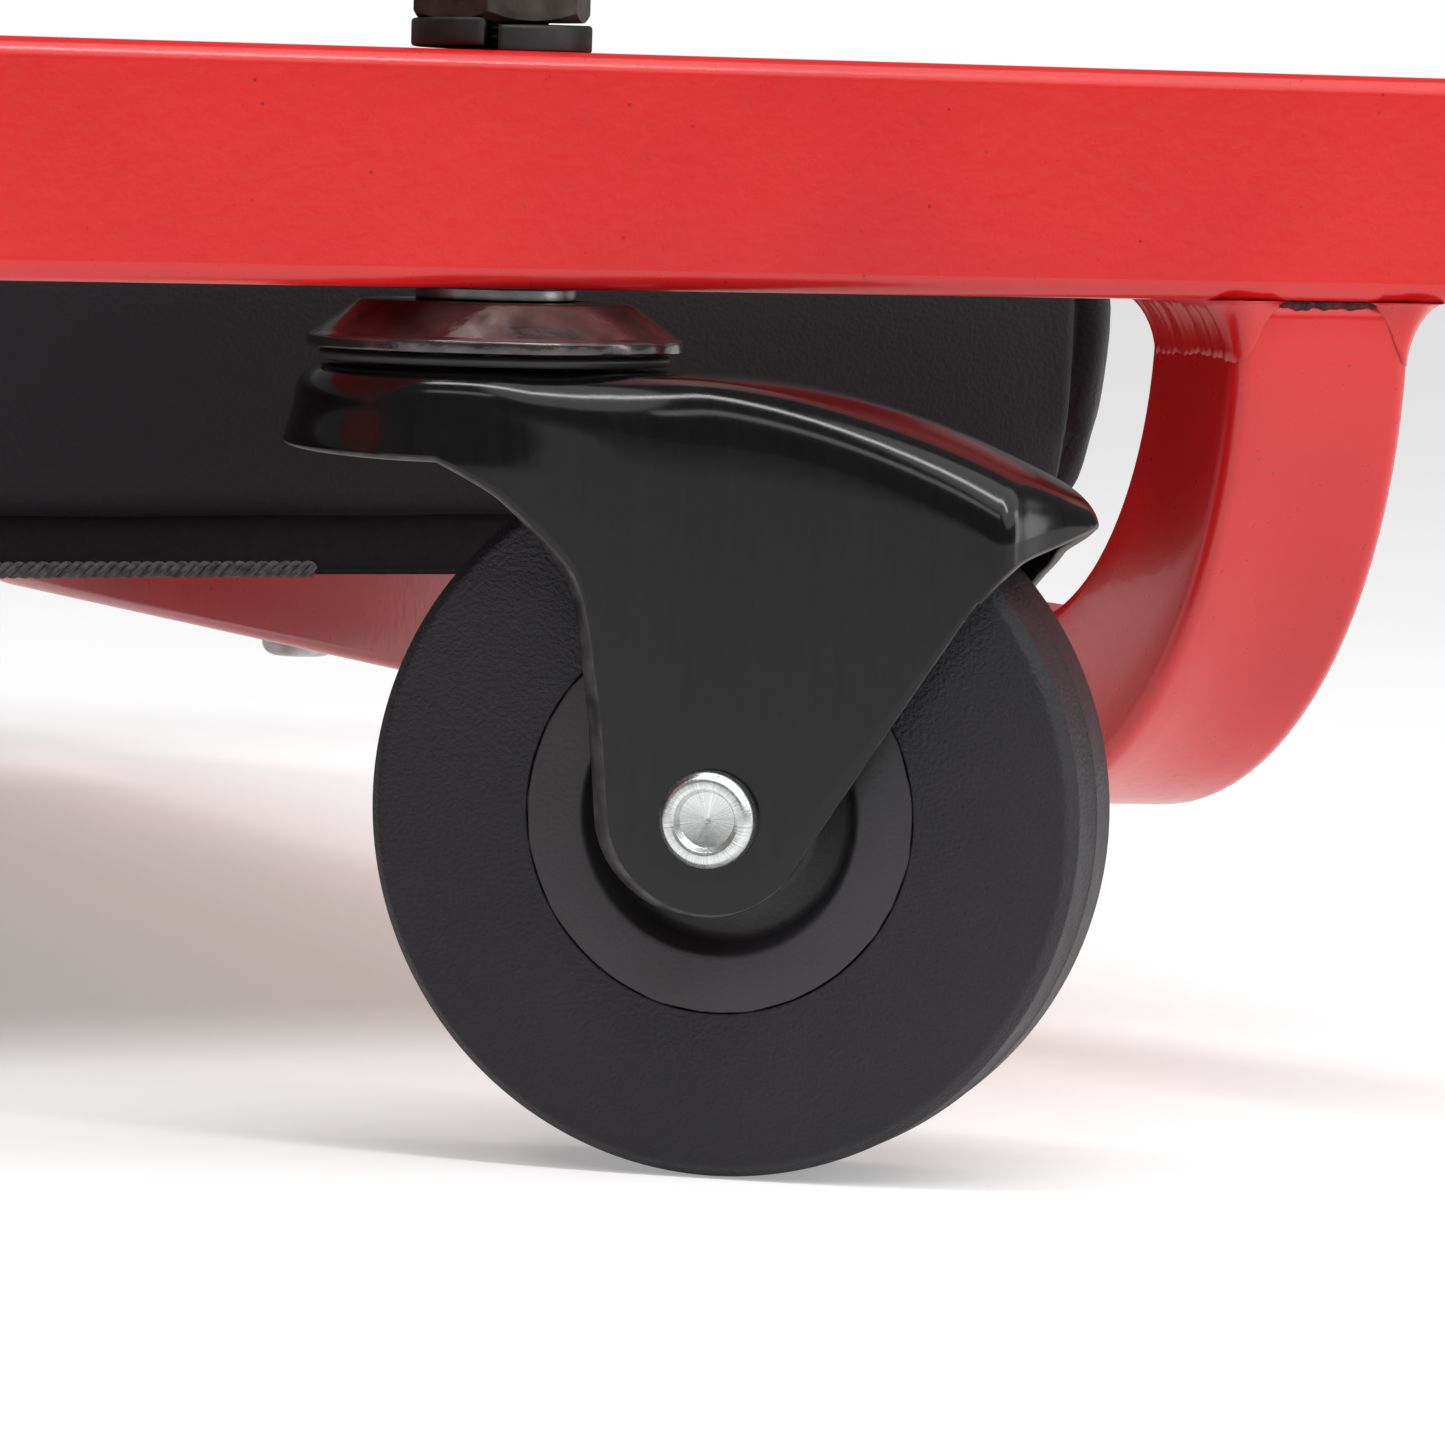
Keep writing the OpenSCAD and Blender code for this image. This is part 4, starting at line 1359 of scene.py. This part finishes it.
def softbox(name, spot, target, along, size, power):
    """A rectangular area light that faces a target, with its long side along a direction."""
    data = bpy.data.lights.new(name, "AREA")
    data.shape = "RECTANGLE"
    data.size, data.size_y = size
    data.energy = power
    light = bpy.data.objects.new(name, data)
    bpy.context.scene.collection.objects.link(light)
    back = (spot - target).normalized()
    side = (along - back * along.dot(back)).normalized()
    turn = Matrix((side, back.cross(side), back)).transposed().to_4x4()
    light.matrix_world = Matrix.Translation(spot) @ turn


def studio():
    """A pale floor that also glows to lighten the shadows cast on it, soft light from all round, a strip
    above and two panels at the sides.
    """
    bpy.context.scene.view_settings.view_transform = "Standard"
    world = bpy.data.worlds.new("studio")
    bpy.context.scene.world = world
    world.use_nodes = True
    nodes, links = world.node_tree.nodes, world.node_tree.links
    background = nodes["Background"]
    background.inputs["Color"].default_value = (1, 1, 1, 1)
    seen, ambient = 1.0, 0.19
    rays = nodes.new("ShaderNodeLightPath")
    strength = nodes.new("ShaderNodeMapRange")
    strength.inputs["To Min"].default_value = ambient
    strength.inputs["To Max"].default_value = seen
    links.new(rays.outputs["Is Camera Ray"], strength.inputs["Value"])
    links.new(strength.outputs["Result"], background.inputs["Strength"])
    size = 40.0
    # the floor's emission is painted light: it glows to wash out the creeper's cast shadow and lights the
    # parts from below
    glowing_floor_look = Look("pale_floor", (0.75, 0.75, 0.75), 0.8, Emission_Strength=0.32)
    glowing_floor_look.shader.inputs["Emission Color"].default_value = (1, 1, 1, 1)
    glowing_floor_look.tone(glowing_floor_look.noise(3, 2), 0.74, 0.76, (0.2, 0.8))
    mesh = bpy.data.meshes.new("floor")
    corners = [(-size, -size, 0), (size, -size, 0), (size, size, 0), (-size, size, 0)]
    mesh.from_pydata(corners, [], [(0, 1, 2, 3)])
    mesh.materials.append(glowing_floor_look.material)
    floor = bpy.data.objects.new("floor", mesh)
    bpy.context.scene.collection.objects.link(floor)
    sun = bpy.data.objects.new("sky_softbox", bpy.data.lights.new("sky_softbox", "SUN"))
    sun.data.energy = 1.55
    sun.data.angle = math.radians(70)
    sun.rotation_euler = Vector((-0.5, 0.62, -1.0)).to_track_quat("-Z", "Y").to_euler()
    bpy.context.scene.collection.objects.link(sun)
    focus = PHOTO_CASTER.kingpin
    along = Vector((0.68, -0.73, 0))
    softbox("strip_over_crown", focus + Vector((-0.15, -0.28, 1.15)), focus, along, (2.2, 0.12), 13.0)
    softbox("panel_left", focus + Vector((-0.78, -0.84, 1.1)), focus, along, (1.1, 0.22), 2.2)
    softbox("panel_right", focus + Vector((1.4, -0.7, 0.35)), focus, UP, (0.9, 0.3), 3.5)


def dress_cad_nodes():
    """Gives every CAD node that is still shown the material of its slot."""
    for row in frame["record"]["subparts"]:
        node = frame["nodes"][row["node"]]
        for material_slot in node.material_slots:
            material_slot.material = MATERIALS[row["material_slot"]]


photo_camera()
studio()
dress_cad_nodes()
build_casters()
build_frame_tubes()
build_pads()
